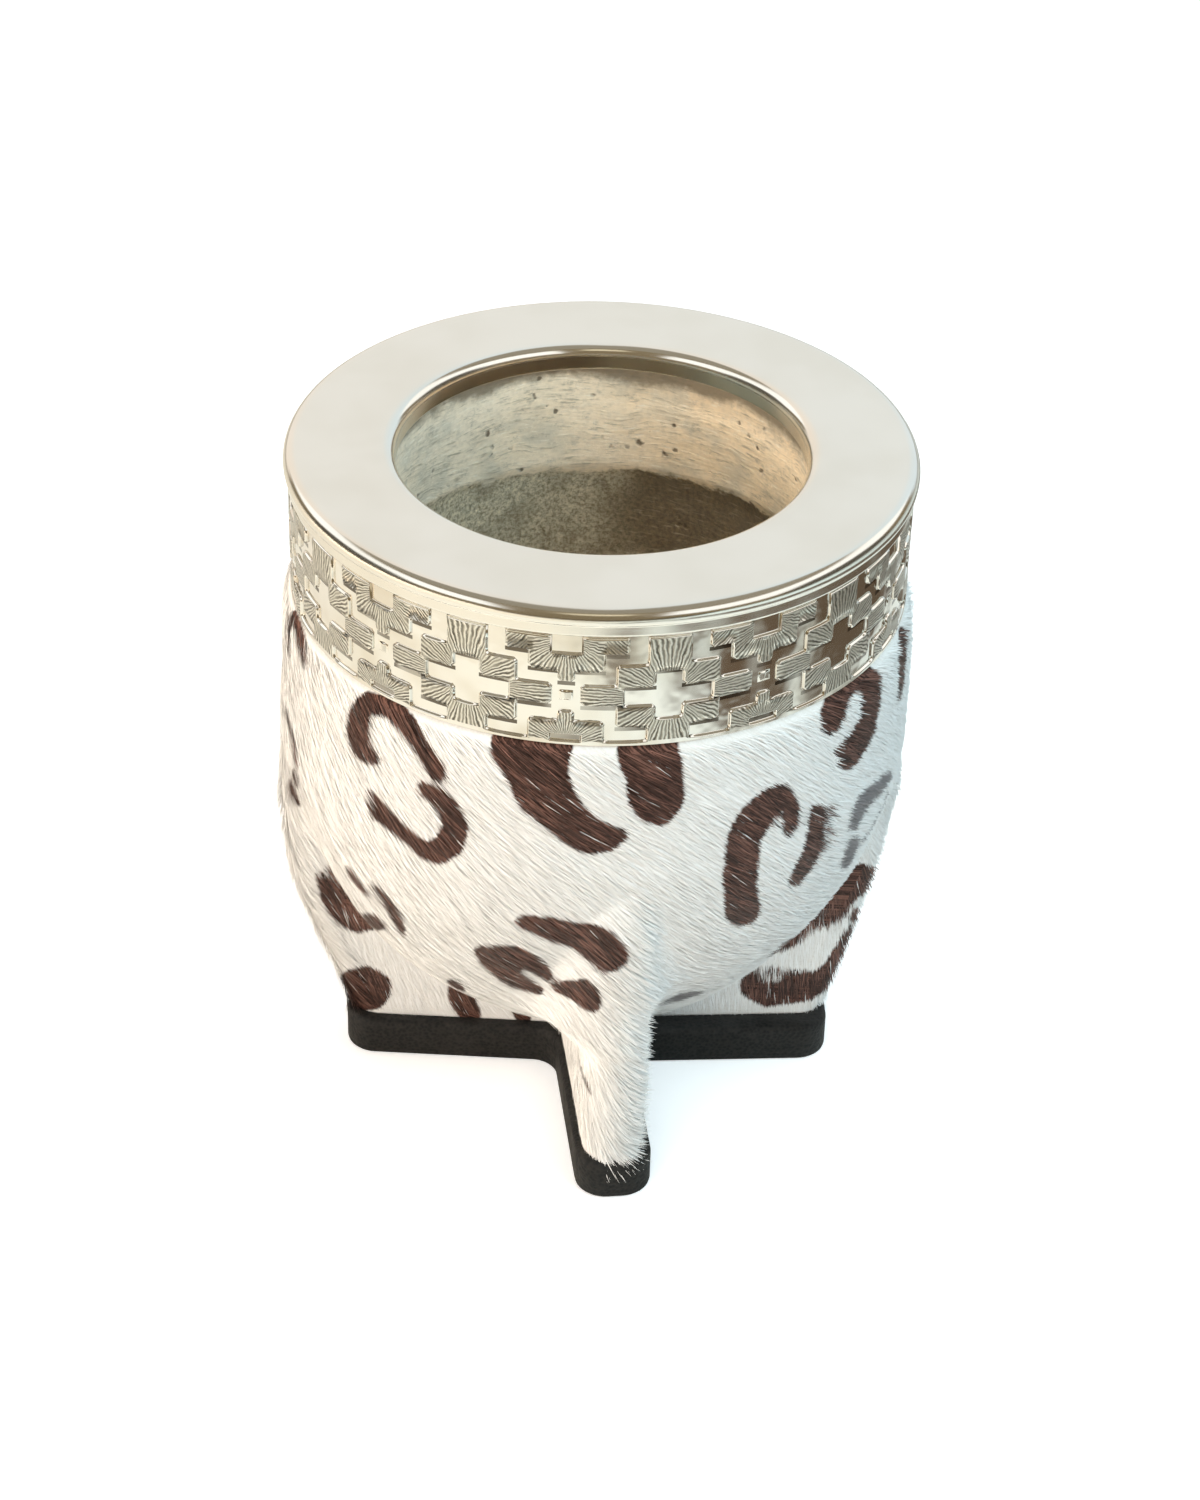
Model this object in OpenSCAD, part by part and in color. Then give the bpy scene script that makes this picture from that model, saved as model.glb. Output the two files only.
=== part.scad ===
// Mate gourd: a thick calabash in a hide cover folded into four legs, on a cross-shaped sole,
// with a flat sheet-metal rim, a throat collar and a chiselled band around the neck.
// Millimetres. The part stands on z = 0, its axis is Z and the front leg points near -Y.

/* [Overall] */
// Height from the table to the flat top of the rim
overall_h = 108; // [95:1:130]
// Diameter over the rolled edge of the rim
rim_d = 90; // [78:1:108]
// How far the hide belly stands out past the rolled edge, on the radius
belly_bulge = 1.3; // [0.5:0.1:6]
// Play left between pieces that are bedded or glued together
fit_gap = 0.1; // [0.05:0.05:0.2]

/* [Rim] */
// Clear diameter of the throat
throat_d = 58.5; // [40:0.5:66]
// Thickness of the flange sheet
sheet_t = 0.9; // [0.6:0.1:1.2]
// Outside radius of the rolled edge
roll_r = 1.8; // [1.4:0.1:2.6]
// Outside radius of the lip that turns down into the throat
lip_r = 1.8; // [1.4:0.1:3]
// Straight height of the throat collar below the lip
collar_h = 2.2; // [1.5:0.1:8]
// Depth of the plain skirt below the rim's top
skirt_h = 4.4; // [3.4:0.1:7]
// Thickness of the skirt
skirt_t = 0.55; // [0.4:0.05:0.8]
// How far the skirt sits inside the rolled edge, on the radius
skirt_inset = 0.4; // [0.1:0.1:0.8]

/* [Chiselled band] */
// Depth from the rim's top to the lower edge of the band
rim_h = 22; // [16:0.5:28]
// Thickness of the band sheet
band_t = 0.8; // [0.5:0.1:1.2]
// How far the band reaches up inside the skirt
band_lap = 1.8; // [1:0.1:2]
// Height of the raised border wires at the band's edges
border_h = 0.6; // [0.4:0.1:1.2]
// How far the border wires stand out from the band's ground
border_out = 0.4; // [0.2:0.05:0.5]

/* [Gourd] */
// Thickness of the gourd wall at the belly
wall_t = 10.8; // [6:0.2:14]
// Thickness of the gourd's floor
floor_t = 11; // [6:0.5:16]
// Height of the belly's widest level, as a share of the height between sole and band
belly_share = 0.75; // [0.6:0.01:0.85]
// Fullness of the lower belly, 2 being an ellipse
belly_power = 1.72; // [1.6:0.02:2.2]
// Height of the straight mouth below the collar
mouth_h = 6; // [3:0.5:12]
// Height of the belly's lowest point above the sole
belly_lift = 5.5; // [4.5:0.5:8]

/* [Hide] */
// Thickness of the hide with its hair
hide_t = 2.9; // [2:0.1:3.6]
// Thickness of the shaved hide tucked under the band
tuck_t = 2.4; // [1.6:0.1:3]
// How far the hide is tucked up under the band
tuck_h = 12; // [8:0.5:14]
// Step from the band's face out to the hide just below it, on the radius
tuck_step = 0.2; // [0:0.1:1]

/* [Legs] */
// Width of a folded hide leg
leg_w = 9.4; // [8.6:0.2:13]
// Reach of a leg from the axis at the sole
leg_reach = 36.6; // [30:0.2:42]
// Height where a leg's outer edge has come out to the belly's width
leg_top_share = 0.62; // [0.5:0.01:0.7]
// How far the leg's outer edge stays inside the belly's width
leg_ease = 0.15; // [0.1:0.05:0.4]
// Height of the stiffener inside a leg, as a share of the overall height
core_share = 0.33; // [0.25:0.01:0.36]
// Heading of the front leg, counter-clockwise from the right side
front_heading = -82.2; // [-100:0.1:-75]
// Heading of the right leg
right_heading = 4.3; // [-10:0.1:10]
// Heading of the back leg
back_heading = 97; // [80:0.1:105]
// Heading of the left leg
left_heading = 178; // [170:0.1:190]
// Radius of the pad at the middle, where the four folds meet
pad_r = 6.6; // [6:0.2:9]

/* [Sole] */
// Thickness of the sole
sole_t = 6.5; // [4:0.1:8]
// How far the sole stands out past the hide legs
sole_margin = 1; // [0.4:0.1:2]
// Corner radius at the ends of the sole's arms
sole_tip_r = 4.6; // [3:0.1:4.8]
// Fillet radius between neighbouring arms
sole_fillet_r = 3.4; // [1.5:0.1:5]

/* [Hidden] */
$fn = 96;

// Points along each quarter of a turned outline
curve_n = 14;
// Points along a quarter-round of the sheet metal
round_n = 10;
// Length by which a cutter runs past the face it cuts
over = 5;

// Metal rim
rim_r = rim_d / 2;
throat_r = throat_d / 2;
roll_z = overall_h - roll_r;
lip_z = overall_h - lip_r;
lip_c = throat_r + lip_r;
roll_c = rim_r - roll_r;
skirt_r = rim_r - skirt_inset;
skirt_in_r = skirt_r - skirt_t;
skirt_z = overall_h - skirt_h;
collar_r = throat_r + sheet_t;
collar_z = lip_z - collar_h;

// Band, tucked hide and gourd neck, from the outside in
band_r = skirt_in_r - fit_gap / 2;
band_in_r = band_r - band_t;
band_z = overall_h - rim_h;
band_top_z = skirt_z + band_lap;
tuck_r = band_in_r - fit_gap;
tuck_top_z = band_z + tuck_h;
neck_r = tuck_r - tuck_t - fit_gap;
neck_top_z = overall_h - sheet_t - fit_gap;

// Hide belly and the gourd inside it
belly_r = rim_r + belly_bulge;
belly_z = sole_t + belly_share * (band_z - sole_t);
hide_low_z = sole_t + belly_lift;
hide_top_r = band_r + tuck_step;
gourd_r = belly_r - hide_t;
gourd_low_z = hide_low_z + hide_t;
mouth_r = collar_r + fit_gap;
mouth_z = collar_z - mouth_h;
cavity_r = gourd_r - wall_t;
cavity_low_z = gourd_low_z + floor_t;

// Legs and sole
headings = [front_heading, right_heading, back_heading, left_heading];
turns = [for (i = [0 : 3]) ((headings[(i + 1) % 4] - headings[i]) % 360 + 360) % 360];
leg_top_z = leg_top_share * (band_z - sole_t) + sole_t;
leg_top_r = belly_r - leg_ease;
leg_nose_c = leg_reach - leg_w / 2;
core_w = leg_w - 2 * hide_t;
core_top_z = core_share * overall_h;
fold_in_r = max(pad_r, leg_w / 2 / tan(min(turns) / 2)) + fit_gap;
core_in_r = fold_in_r + hide_t;
sole_half_w = leg_w / 2 + sole_margin;
sole_reach = leg_reach + sole_margin;

// Quarter-round from angle a0 to a1 about c
function arc_pts(c, r, a0, a1) =
    [for (i = [0 : round_n]) let (a = a0 + (a1 - a0) * i / round_n) c + r * [cos(a), sin(a)]];

// Shoulder from its top edge down to the widest level
function shoulder_pts(r_top, z_top, r_mid, z_mid) =
    [for (i = [0 : curve_n])
        let (a = 90 * (1 - i / curve_n))
        [r_top + (r_mid - r_top) * cos(a), z_mid + (z_top - z_mid) * sin(a)]];

// Lower belly from below the widest level to the axis
function bowl_pts(r_mid, z_mid, z_low) =
    [for (i = [1 : curve_n])
        let (a = 90 * i / curve_n)
        i == curve_n ? [0, z_low]
                     : [r_mid * pow(cos(a), 2 / belly_power),
                        z_mid - (z_mid - z_low) * pow(sin(a), 2 / belly_power)]];

// Gentle widening from the mouth down to the widest level of the cavity
function widen_pts(r_top, z_top, r_mid, z_mid) =
    [for (i = [0 : curve_n])
        let (t = i / curve_n)
        [r_top + (r_mid - r_top) * (1 - cos(180 * t)) / 2, z_top + (z_mid - z_top) * t]];

// Outer edge of a leg at height z
function leg_r(z) =
    z >= leg_top_z ? leg_top_r
                   : leg_reach + (leg_top_r - leg_reach) * sin(90 * (z - sole_t) / (leg_top_z - sole_t));

// Outer edge of a leg from the sole up to height z_end, moved inwards by inset
function leg_edge_pts(z_end, inset) =
    [for (i = [0 : curve_n]) let (z = sole_t + (z_end - sole_t) * i / curve_n) [leg_r(z) - inset, z]];

// Solid hide belly, grown by extra, with no hollow
module belly_solid(extra) {
    rotate_extrude()
        polygon(concat([[0, band_z]],
                       shoulder_pts(hide_top_r + extra, band_z, belly_r + extra, belly_z),
                       bowl_pts(belly_r + extra, belly_z, hide_low_z - extra)));
}

// Solid gourd, grown by extra, with no hollow
module gourd_solid(extra) {
    rotate_extrude()
        polygon(concat([[0, neck_top_z], [neck_r + extra, neck_top_z]],
                       shoulder_pts(neck_r + extra, band_z, gourd_r + extra, belly_z),
                       bowl_pts(gourd_r + extra, belly_z, gourd_low_z - extra)));
}

// Upright plate of width w on the X axis from a polygon of radius and height
module leg_plate(w, points) {
    rotate([90, 0, 0])
        linear_extrude(height = w, center = true)
            polygon(points);
}

// One folded leg with a round nose, on the X axis
module leg_solid() {
    leg_plate(leg_w, [[fold_in_r, sole_t], [leg_nose_c, sole_t], [leg_nose_c, belly_z], [fold_in_r, belly_z]]);
    intersection() {
        translate([leg_nose_c, 0, 0])
            rotate_extrude()
                polygon(concat([[0, belly_z], [0, sole_t]],
                               leg_edge_pts(leg_top_z, leg_nose_c),
                               [[leg_top_r - leg_nose_c, belly_z]]));
        translate([0, -leg_w / 2, sole_t])
            cube([belly_r, leg_w, belly_z - sole_t]);
    }
}

// Uncut stiffener plate of one leg on the X axis, grown by extra and run down by low below the sole's top
module core_plate(extra, low) {
    top_z = core_top_z + extra;
    in_r = core_in_r - extra;
    run_down = low > 0 ? [[leg_reach - hide_t + extra, sole_t - low]] : [];
    leg_plate(core_w + 2 * extra,
              concat([[in_r, top_z], [in_r, sole_t - low]], run_down, leg_edge_pts(top_z, hide_t - extra)));
}

// Hide fold of the leg at a heading, with a pocket for its stiffener
module leg_fold(heading) {
    color("ivory")
        rotate(heading)
            difference() {
                leg_solid();
                belly_solid(fit_gap);
                core_plate(fit_gap, over);
            }
}

// Stiffener of the leg at a heading
module leg_core(heading) {
    color("saddlebrown")
        rotate(heading)
            difference() {
                core_plate(0, 0);
                belly_solid(fit_gap);
            }
}

// Points turned by angle a about the origin
function turned(points, a) =
    [for (p = points) [p.x * cos(a) - p.y * sin(a), p.x * sin(a) + p.y * cos(a)]];

// Tip of the sole's arm i and the fillet on to the next arm, counter-clockwise
function arm_pts(i) =
    let (along = (sole_half_w + sole_fillet_r) / tan(turns[i] / 2),
         tip_x = sole_reach - sole_tip_r,
         tip_y = sole_half_w - sole_tip_r)
    turned(concat(arc_pts([tip_x, -tip_y], sole_tip_r, -90, 0),
                  arc_pts([tip_x, tip_y], sole_tip_r, 0, 90),
                  arc_pts([along, sole_half_w + sole_fillet_r], sole_fillet_r, -90, turns[i] - 270)),
           headings[i]);

module rim_plate() {
    color("silver")
        rotate_extrude()
            polygon(concat(arc_pts([lip_c, lip_z], lip_r, 180, 90),
                           arc_pts([roll_c, roll_z], roll_r, 90, -20),
                           [[skirt_r, roll_z - roll_r / 2], [skirt_r, skirt_z], [skirt_in_r, skirt_z],
                            [skirt_in_r, roll_z]],
                           arc_pts([roll_c, roll_z], roll_r - sheet_t, 15, 90),
                           arc_pts([lip_c, lip_z], lip_r - sheet_t, 90, 180)));
}

module throat_collar() {
    color("silver")
        rotate_extrude()
            polygon([[throat_r, collar_z], [collar_r, collar_z], [collar_r, lip_z], [throat_r, lip_z]]);
}

module chiselled_band() {
    border_r = band_r + border_out;
    border_top_z = skirt_z - border_h / 2;
    color("gainsboro")
        rotate_extrude()
            polygon([[band_in_r, band_z], [border_r, band_z], [border_r, band_z + border_h],
                     [band_r, band_z + border_h], [band_r, border_top_z - border_h],
                     [border_r, border_top_z - border_h], [border_r, border_top_z],
                     [band_r, border_top_z], [band_r, band_top_z], [band_in_r, band_top_z]]);
}

module bedding_ring() {
    low_z = tuck_top_z + fit_gap;
    color("dimgray")
        rotate_extrude()
            polygon([[neck_r + fit_gap, low_z], [tuck_r, low_z], [tuck_r, roll_z],
                     [roll_c - fit_gap, neck_top_z], [neck_r + fit_gap, neck_top_z]]);
}

module gourd_shell() {
    chamfer = lip_r - sheet_t + fit_gap;
    color("burlywood")
        difference() {
            gourd_solid(0);
            rotate_extrude()
                polygon(concat([[0, neck_top_z + over], [mouth_r + chamfer, neck_top_z + over],
                                [mouth_r + chamfer, neck_top_z], [mouth_r, neck_top_z - chamfer]],
                               widen_pts(mouth_r, mouth_z, cavity_r, belly_z),
                               bowl_pts(cavity_r, belly_z, cavity_low_z)));
        }
}

module hide_belly() {
    color("ivory")
        difference() {
            union() {
                belly_solid(0);
                translate([0, 0, band_z - over])
                    cylinder(r = tuck_r, h = tuck_h + over);
            }
            gourd_solid(fit_gap);
        }
}

module front_leg_fold() {
    leg_fold(front_heading);
}

module right_leg_fold() {
    leg_fold(right_heading);
}

module back_leg_fold() {
    leg_fold(back_heading);
}

module left_leg_fold() {
    leg_fold(left_heading);
}

module front_leg_core() {
    leg_core(front_heading);
}

module right_leg_core() {
    leg_core(right_heading);
}

module back_leg_core() {
    leg_core(back_heading);
}

module left_leg_core() {
    leg_core(left_heading);
}

module centre_pad() {
    color("saddlebrown")
        translate([0, 0, sole_t])
            cylinder(r = pad_r, h = belly_lift - fit_gap);
}

module sole() {
    color([0.1, 0.1, 0.1])
        linear_extrude(height = sole_t)
            polygon([for (i = [0 : 3]) each arm_pts(i)]);
}

rim_plate();
throat_collar();
chiselled_band();
bedding_ring();
gourd_shell();
hide_belly();
front_leg_fold();
right_leg_fold();
back_leg_fold();
left_leg_fold();
front_leg_core();
right_leg_core();
back_leg_core();
left_leg_core();
centre_pad();
sole();
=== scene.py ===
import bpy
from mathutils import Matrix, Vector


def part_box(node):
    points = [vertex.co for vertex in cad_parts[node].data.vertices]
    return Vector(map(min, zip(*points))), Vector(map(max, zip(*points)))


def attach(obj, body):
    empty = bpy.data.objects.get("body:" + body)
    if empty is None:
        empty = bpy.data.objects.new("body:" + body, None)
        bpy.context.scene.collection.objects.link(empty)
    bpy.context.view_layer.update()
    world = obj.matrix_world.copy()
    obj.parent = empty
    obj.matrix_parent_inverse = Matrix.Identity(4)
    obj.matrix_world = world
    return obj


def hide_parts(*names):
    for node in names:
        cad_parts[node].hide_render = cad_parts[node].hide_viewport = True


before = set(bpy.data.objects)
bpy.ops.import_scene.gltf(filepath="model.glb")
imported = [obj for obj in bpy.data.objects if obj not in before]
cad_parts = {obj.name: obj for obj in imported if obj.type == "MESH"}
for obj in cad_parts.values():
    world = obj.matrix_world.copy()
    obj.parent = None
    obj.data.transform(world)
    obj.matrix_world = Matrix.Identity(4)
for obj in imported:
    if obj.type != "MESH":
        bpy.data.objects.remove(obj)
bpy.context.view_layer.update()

import math

import bmesh
import bpy
import numpy as np
from mathutils import Matrix, Quaternion, Vector, noise
from mathutils.bvhtree import BVHTree
from mathutils.kdtree import KDTree

bl_info = {
    "name": "Mate gourd in a hide cover",
    "version": (1, 0, 0),
    "blender": (4, 5, 0),
    "location": "3D View > Sidebar > Mate gourd",
    "description": "Metal rim, chiselled band, haired hide and leather sole around the packed mate gourd",
    "category": "Object",
}

MM = 0.001


def span(node):
    """A CAD node's outer radius, lowest height and highest height, in millimetres."""
    low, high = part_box(node)
    return high.x / MM, low.z / MM, high.z / MM


RIM_R, SKIRT_Z, TOP_Z = span("rim_plate")
COLLAR_R, COLLAR_Z, LIP_Z = span("throat_collar")
BORDER_R, BAND_Z, BAND_TOP_Z = span("chiselled_band")
BELLY_R, HIDE_LOW_Z, TUCK_TOP_Z = span("hide_belly")
GOURD_R, GOURD_LOW_Z, NECK_TOP_Z = span("gourd_shell")
SOLE_R, _, SOLE_TOP_Z = span("sole")

# How far the skirt's outside and inside stand back from the rim's edge, and the band's ground and inside from its
# border wires, in millimetres
SKIRT_BACK, SKIRT_IN_BACK = 0.4, 0.95
GROUND_BACK, BAND_IN_BACK = 0.4, 1.2

# Shared heights and headings of the cover, as the CAD has them, in millimetres and degrees
BELLY_Z = 66.1
BELLY_POWER = 1.72
HIDE_TOP_R = 44.2
TUCK_R = 43.1
LEG_TOP_Z = 55.8
LEG_TOP_R = 46.15
LEG_HEADINGS = (-82.2, 4.3, 97.0, 178.0)

# How much slimmer each half leg is folded, and how far it leans anticlockwise on its arm of the sole, in millimetres
LEG_LEANS = ((0.35, -0.25), (1.3, 1.3), (0.0, 0.0), (0.5, -0.5))

# How soft each leg's fold is on its clockwise and its anticlockwise side, beside the usual crease
FOLD_SOFT = ((2.6, 0.8), (0.5, 1.0), (1.0, 1.0), (1.0, 0.3))

# How much each leg bows outwards between the sole and the belly
LEG_BOWS = (0.0, 1.0, 1.0, 1.0)

# How much each leg widens upwards on the same two sides, beside the usual swell
LEG_SWELL = ((1.0, -0.7), (1.0, 1.0), (1.0, 1.0), (1.0, 1.0))

# The photo's frame in pixels, which the print is drawn in, and a camera sensor's width in millimetres
FRAME_PX = (1200, 1500)
SENSOR = 36.0

# How much wider the ink spreads than its drawn strokes
STROKE_FULL = 1.25

# How much of a stroke's depth counts as width on a slanting part, and how clear the back's strokes stay of the
# front's, in millimetres
SLANT_STRETCH = 0.35
BACK_CLEAR = 6.0

# The distance to the print that a spot well away from it is given, in millimetres
UNPRINTED = 9.0

# Brown print strokes as drawn on the frame, each point (across, down, half width) in its pixels
BROWN_STROKES = (
    ((377, 759, 5), (362, 750, 8), (357, 733, 9), (360, 714, 9), (368, 703, 9), (383, 705, 8), (397, 712, 8),
     (408, 725, 8), (418, 739, 7), (428, 756, 7), (439, 772, 8)),
    ((366, 794, 6), (377, 808, 9), (389, 818, 8), (399, 828, 6), (412, 839, 6), (424, 849, 7), (439, 852, 10),
     (451, 841, 12), (457, 826, 10), (451, 810, 9), (439, 797, 8), (424, 787, 6)),
    ((283, 698, 2), (290, 723, 2), (295, 743, 2), (298, 764, 3)),
    ((297, 775, 6), (296, 790, 7), (300, 800, 5)),
    ((293, 615, 3), (290, 632, 3), (290, 654, 3)),
    ((294, 615, 4), (300, 632, 4), (304, 648, 4), (306, 667, 3)),
    ((532, 743, 33), (536, 766, 25), (542, 787, 24), (555, 806, 19), (571, 822, 17), (589, 836, 15),
     (605, 837, 12), (623, 834, 5)),
    ((648, 752, 25), (654, 771, 23), (656, 794, 23), (658, 809, 14)),
    ((742, 909, 15), (740, 888, 13), (739, 880, 14), (741, 862, 14), (743, 839, 14), (752, 821, 14),
     (768, 803, 12), (781, 795, 10), (790, 806, 7), (790, 821, 7), (787, 832, 4)),
    ((817, 812, 7), (815, 830, 7), (811, 850, 8), (803, 866, 8), (794, 880, 6)),
    ((829, 726, 8), (832, 712, 10), (838, 696, 9), (850, 682, 8), (866, 676, 9), (870, 681, 9), (870, 703, 9),
     (866, 726, 9), (854, 746, 11), (846, 755, 12)),
    ((902, 631, 4), (901, 658, 5), (900, 685, 4), (898, 699, 3)),
    ((772, 953, 5), (793, 937, 12), (818, 913, 14), (839, 892, 14), (860, 877, 12), (872, 881, 10),
     (867, 902, 9), (854, 916, 5)),
    ((849, 930, 4), (839, 955, 7), (828, 976, 9), (807, 988, 10), (779, 997, 10), (758, 993, 10), (751, 986, 10),
     (763, 969, 10), (765, 960, 5)),
    ((330, 874, 11), (337, 895, 13), (348, 913, 13), (362, 921, 11), (379, 921, 8)),
    ((349, 869, 4), (360, 885, 4), (369, 893, 3)),
    ((374, 885, 4), (386, 902, 7), (397, 920, 8), (404, 934, 3)),
    ((523, 921, 6), (547, 927, 10), (575, 934, 11), (597, 944, 16), (611, 953, 14), (604, 965, 7)),
    ((484, 952, 8), (500, 958, 11), (514, 965, 8)),
    ((490, 958, 9), (497, 966, 9), (517, 980, 9), (538, 990, 5)),
    ((500, 951, 7), (519, 955, 9), (537, 965, 8), (547, 976, 5)),
    ((556, 988, 4), (570, 989, 8), (585, 993, 12), (590, 1000, 10)),
    ((362, 988, 19), (368, 988, 19)),
    ((456, 983, 7), (461, 997, 10), (470, 1014, 9)),
    ((516, 1011, 4), (526, 1021, 6), (540, 1025, 4)),
    ((579, 1058, 1), (584, 1077, 3), (591, 1093, 1)),
)

# Fainter grey strokes, drawn the same way
GREY_STROKES = (
    ((888, 776, 5), (877, 787, 7), (863, 800, 7), (857, 814, 7), (852, 825, 5)),
    ((886, 794, 2), (881, 807, 2), (870, 828, 1.5), (859, 844, 1.5)),
    ((852, 844, 7), (846, 862, 6)),
    ((661, 1004, 2), (681, 997, 6), (702, 991, 2)),
)

# Raised blocks of one repeat of the band's stepped pattern: (left, right, low, high, kind), in millimetres. The
# first are measured from the middle of the diamond, the others from the middle between two diamonds, both ways
DIAMOND, ARM, UPPER_HALF, LOWER_HALF, STUD, BORDER = range(1, 7)
HALF_REPEAT = 13.98
REPEATS = 10
DIAMOND_Z = 94.1
PATTERN_TURN = 13.0
DIAMOND_BLOCKS = (
    (-3.1, 3.1, 98.0, 103.4, DIAMOND), (-3.1, 3.1, 87.0, 90.5, DIAMOND),
    (1.75, 7.3, 95.5, 99.1, DIAMOND), (-7.3, -1.75, 95.5, 99.1, DIAMOND),
    (1.75, 7.3, 89.1, 92.7, DIAMOND), (-7.3, -1.75, 89.1, 92.7, DIAMOND),
    (6.0, 12.0, 92.4, 95.9, ARM), (-12.0, -6.0, 92.4, 95.9, ARM),
)
HALF_DIAMOND_BLOCKS = (
    (2.0, 8.5, 100.6, 103.4, UPPER_HALF), (2.0, 5.3, 98.0, 103.4, UPPER_HALF), (0.0, 5.3, 98.0, 100.9, UPPER_HALF),
    (0.0, 1.2, 96.2, 98.1, UPPER_HALF),
    (0.0, 1.2, 89.9, 91.75, LOWER_HALF), (0.0, 5.3, 87.7, 90.1, LOWER_HALF), (2.0, 5.3, 87.0, 90.1, LOWER_HALF),
    (0.0, 1.0, 93.2, 94.88, STUD),
)

# The plain lower border's low and high edge, and the height above which shade is painted in the gap under the skirt
BORDER_ROW = (BAND_Z + 0.02, 87.0)
SKIRT_SHADE_Z = 103.42

# How much the chisel took off a block's corners, how far painted shade reaches down below a block, the lowest block
# that has any, and the widest part of the band that is left without a cut, in millimetres
CORNER_CUT = 0.5
SHADE_REACH = 0.62
SHADE_LOW_Z = 89
WIDEST_FACE = 1.3

# A block's sides and a stud's, as steps of (inwards in millimetres, outwards as a share of the relief), and the painted
# shade on a block's first steps
BLOCK_STEPS = ((0.04, 0.0), (0.08, 0.35), (0.09, 0.35), (0.09, 0.3), (0.05, 0.0))
STUD_STEPS = ((0.05, 0.0), (0.12, 0.2), (0.12, 0.2), (0.12, 0.1), (0.04, 0.0))
STEP_SHADE = (0.95, 0.9, 0.6)
STUD_MATT = 0.45

# Where the chiselled lines fan out from, and how many millimetres they spread per radian. The wings are the parts of
# an upper half diamond that lie further out than WING_X
FANS = {DIAMOND: (DIAMOND_Z, 5.2), UPPER_HALF: (103.2, 4.6), LOWER_HALF: (86.4, 4.6)}
WING_FAN = (110.0, 10.6)
WING_X = 5.3
ARM_SPREAD = 9.0


class MetalSettings(bpy.types.PropertyGroup):
    silver: bpy.props.FloatVectorProperty(
        name="Silver", description="Colour of the polished metal", subtype="COLOR",
        default=(0.83, 0.80, 0.74), min=0, max=1)
    chiselled: bpy.props.FloatVectorProperty(
        name="Chiselled", description="Colour of the hatched blocks between the cuts", subtype="COLOR",
        default=(0.56, 0.53, 0.46), min=0, max=1)
    cut_dark: bpy.props.FloatVectorProperty(
        name="Cut lines", description="Colour down in the cut lines", subtype="COLOR",
        default=(0.10, 0.09, 0.072), min=0, max=1)
    edge_roll: bpy.props.FloatProperty(
        name="Edge roll", description="Radius of the rolled outer edge and of the throat's lip",
        default=0.0018, min=0, unit="LENGTH", precision=5)
    sheet: bpy.props.FloatProperty(
        name="Sheet", description="Thickness of the rim's sheet metal",
        default=0.0009, min=0, unit="LENGTH", precision=5)
    relief: bpy.props.FloatProperty(
        name="Relief", description="How far the band's blocks stand out of its ground",
        default=0.0004, min=0, unit="LENGTH", precision=5)
    hatch_pitch: bpy.props.FloatProperty(
        name="Hatch pitch", description="Distance from one chiselled line to the next",
        default=0.00046, min=0, unit="LENGTH", precision=5)


class HideSettings(bpy.types.PropertyGroup):
    white: bpy.props.FloatVectorProperty(
        name="White hair", description="Colour of the plain hair", subtype="COLOR",
        default=(0.88, 0.88, 0.87), min=0, max=1)
    brown: bpy.props.FloatVectorProperty(
        name="Brown print", description="Colour of the printed spots", subtype="COLOR",
        default=(0.022, 0.0105, 0.008), min=0, max=1)
    grey: bpy.props.FloatVectorProperty(
        name="Grey print", description="Colour of the fainter printed spots", subtype="COLOR",
        default=(0.12, 0.108, 0.112), min=0, max=1)
    leg_width: bpy.props.FloatProperty(
        name="Leg width", description="Width of each folded leg",
        default=0.0094, min=0, unit="LENGTH", precision=5)
    leg_reach: bpy.props.FloatProperty(
        name="Leg reach", description="Distance from the middle to the tip of a leg on the sole",
        default=0.0366, min=0, unit="LENGTH", precision=5)
    crease: bpy.props.FloatProperty(
        name="Crease", description="Softness of the fold between the belly and a leg",
        default=0.0014, min=0, unit="LENGTH", precision=5)
    hair_length: bpy.props.FloatProperty(
        name="Hair length", description="Length of a usual hair",
        default=0.0034, min=0, unit="LENGTH", precision=5)
    hair_width: bpy.props.FloatProperty(
        name="Hair width", description="Width of a lock of hair at its root",
        default=0.00013, min=0, unit="LENGTH", precision=5)
    hair_count: bpy.props.IntProperty(
        name="Hairs", description="Number of hairs on the whole cover", default=156000, min=0)
    hair_slant: bpy.props.FloatProperty(
        name="Hair slant", description="How far below level the hair lies around the belly",
        default=math.radians(38), subtype="ANGLE", unit="ROTATION")


class GourdSettings(bpy.types.PropertyGroup):
    wall: bpy.props.FloatVectorProperty(
        name="Scraped wall", description="Colour of the scraped wall below the throat, on the left", subtype="COLOR",
        default=(0.89, 0.79, 0.635), min=0, max=1)
    # The right side of the scraped wall, with the warm light from the left painted into its colour
    wall_lit_right: bpy.props.FloatVectorProperty(
        name="Warm wall", description="Colour of the scraped wall on the right", subtype="COLOR",
        default=(0.87, 0.71, 0.50), min=0, max=1)
    # The wall further down is darker, and darker still on the right
    deep_wall: bpy.props.FloatVectorProperty(
        name="Deep wall", description="Colour of the darker wall further down, on the left", subtype="COLOR",
        default=(0.72, 0.65, 0.49), min=0, max=1)
    deep_wall_right: bpy.props.FloatVectorProperty(
        name="Darker right wall", description="Colour of the darker right wall further down, on the right", subtype="COLOR",
        default=(0.22, 0.17, 0.11), min=0, max=1)
    deep_wall_depth: bpy.props.FloatProperty(
        name="Darker wall depth", description="How far below the collar the darker wall begins",
        default=0.0185, min=0, unit="LENGTH", precision=5)


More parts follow.
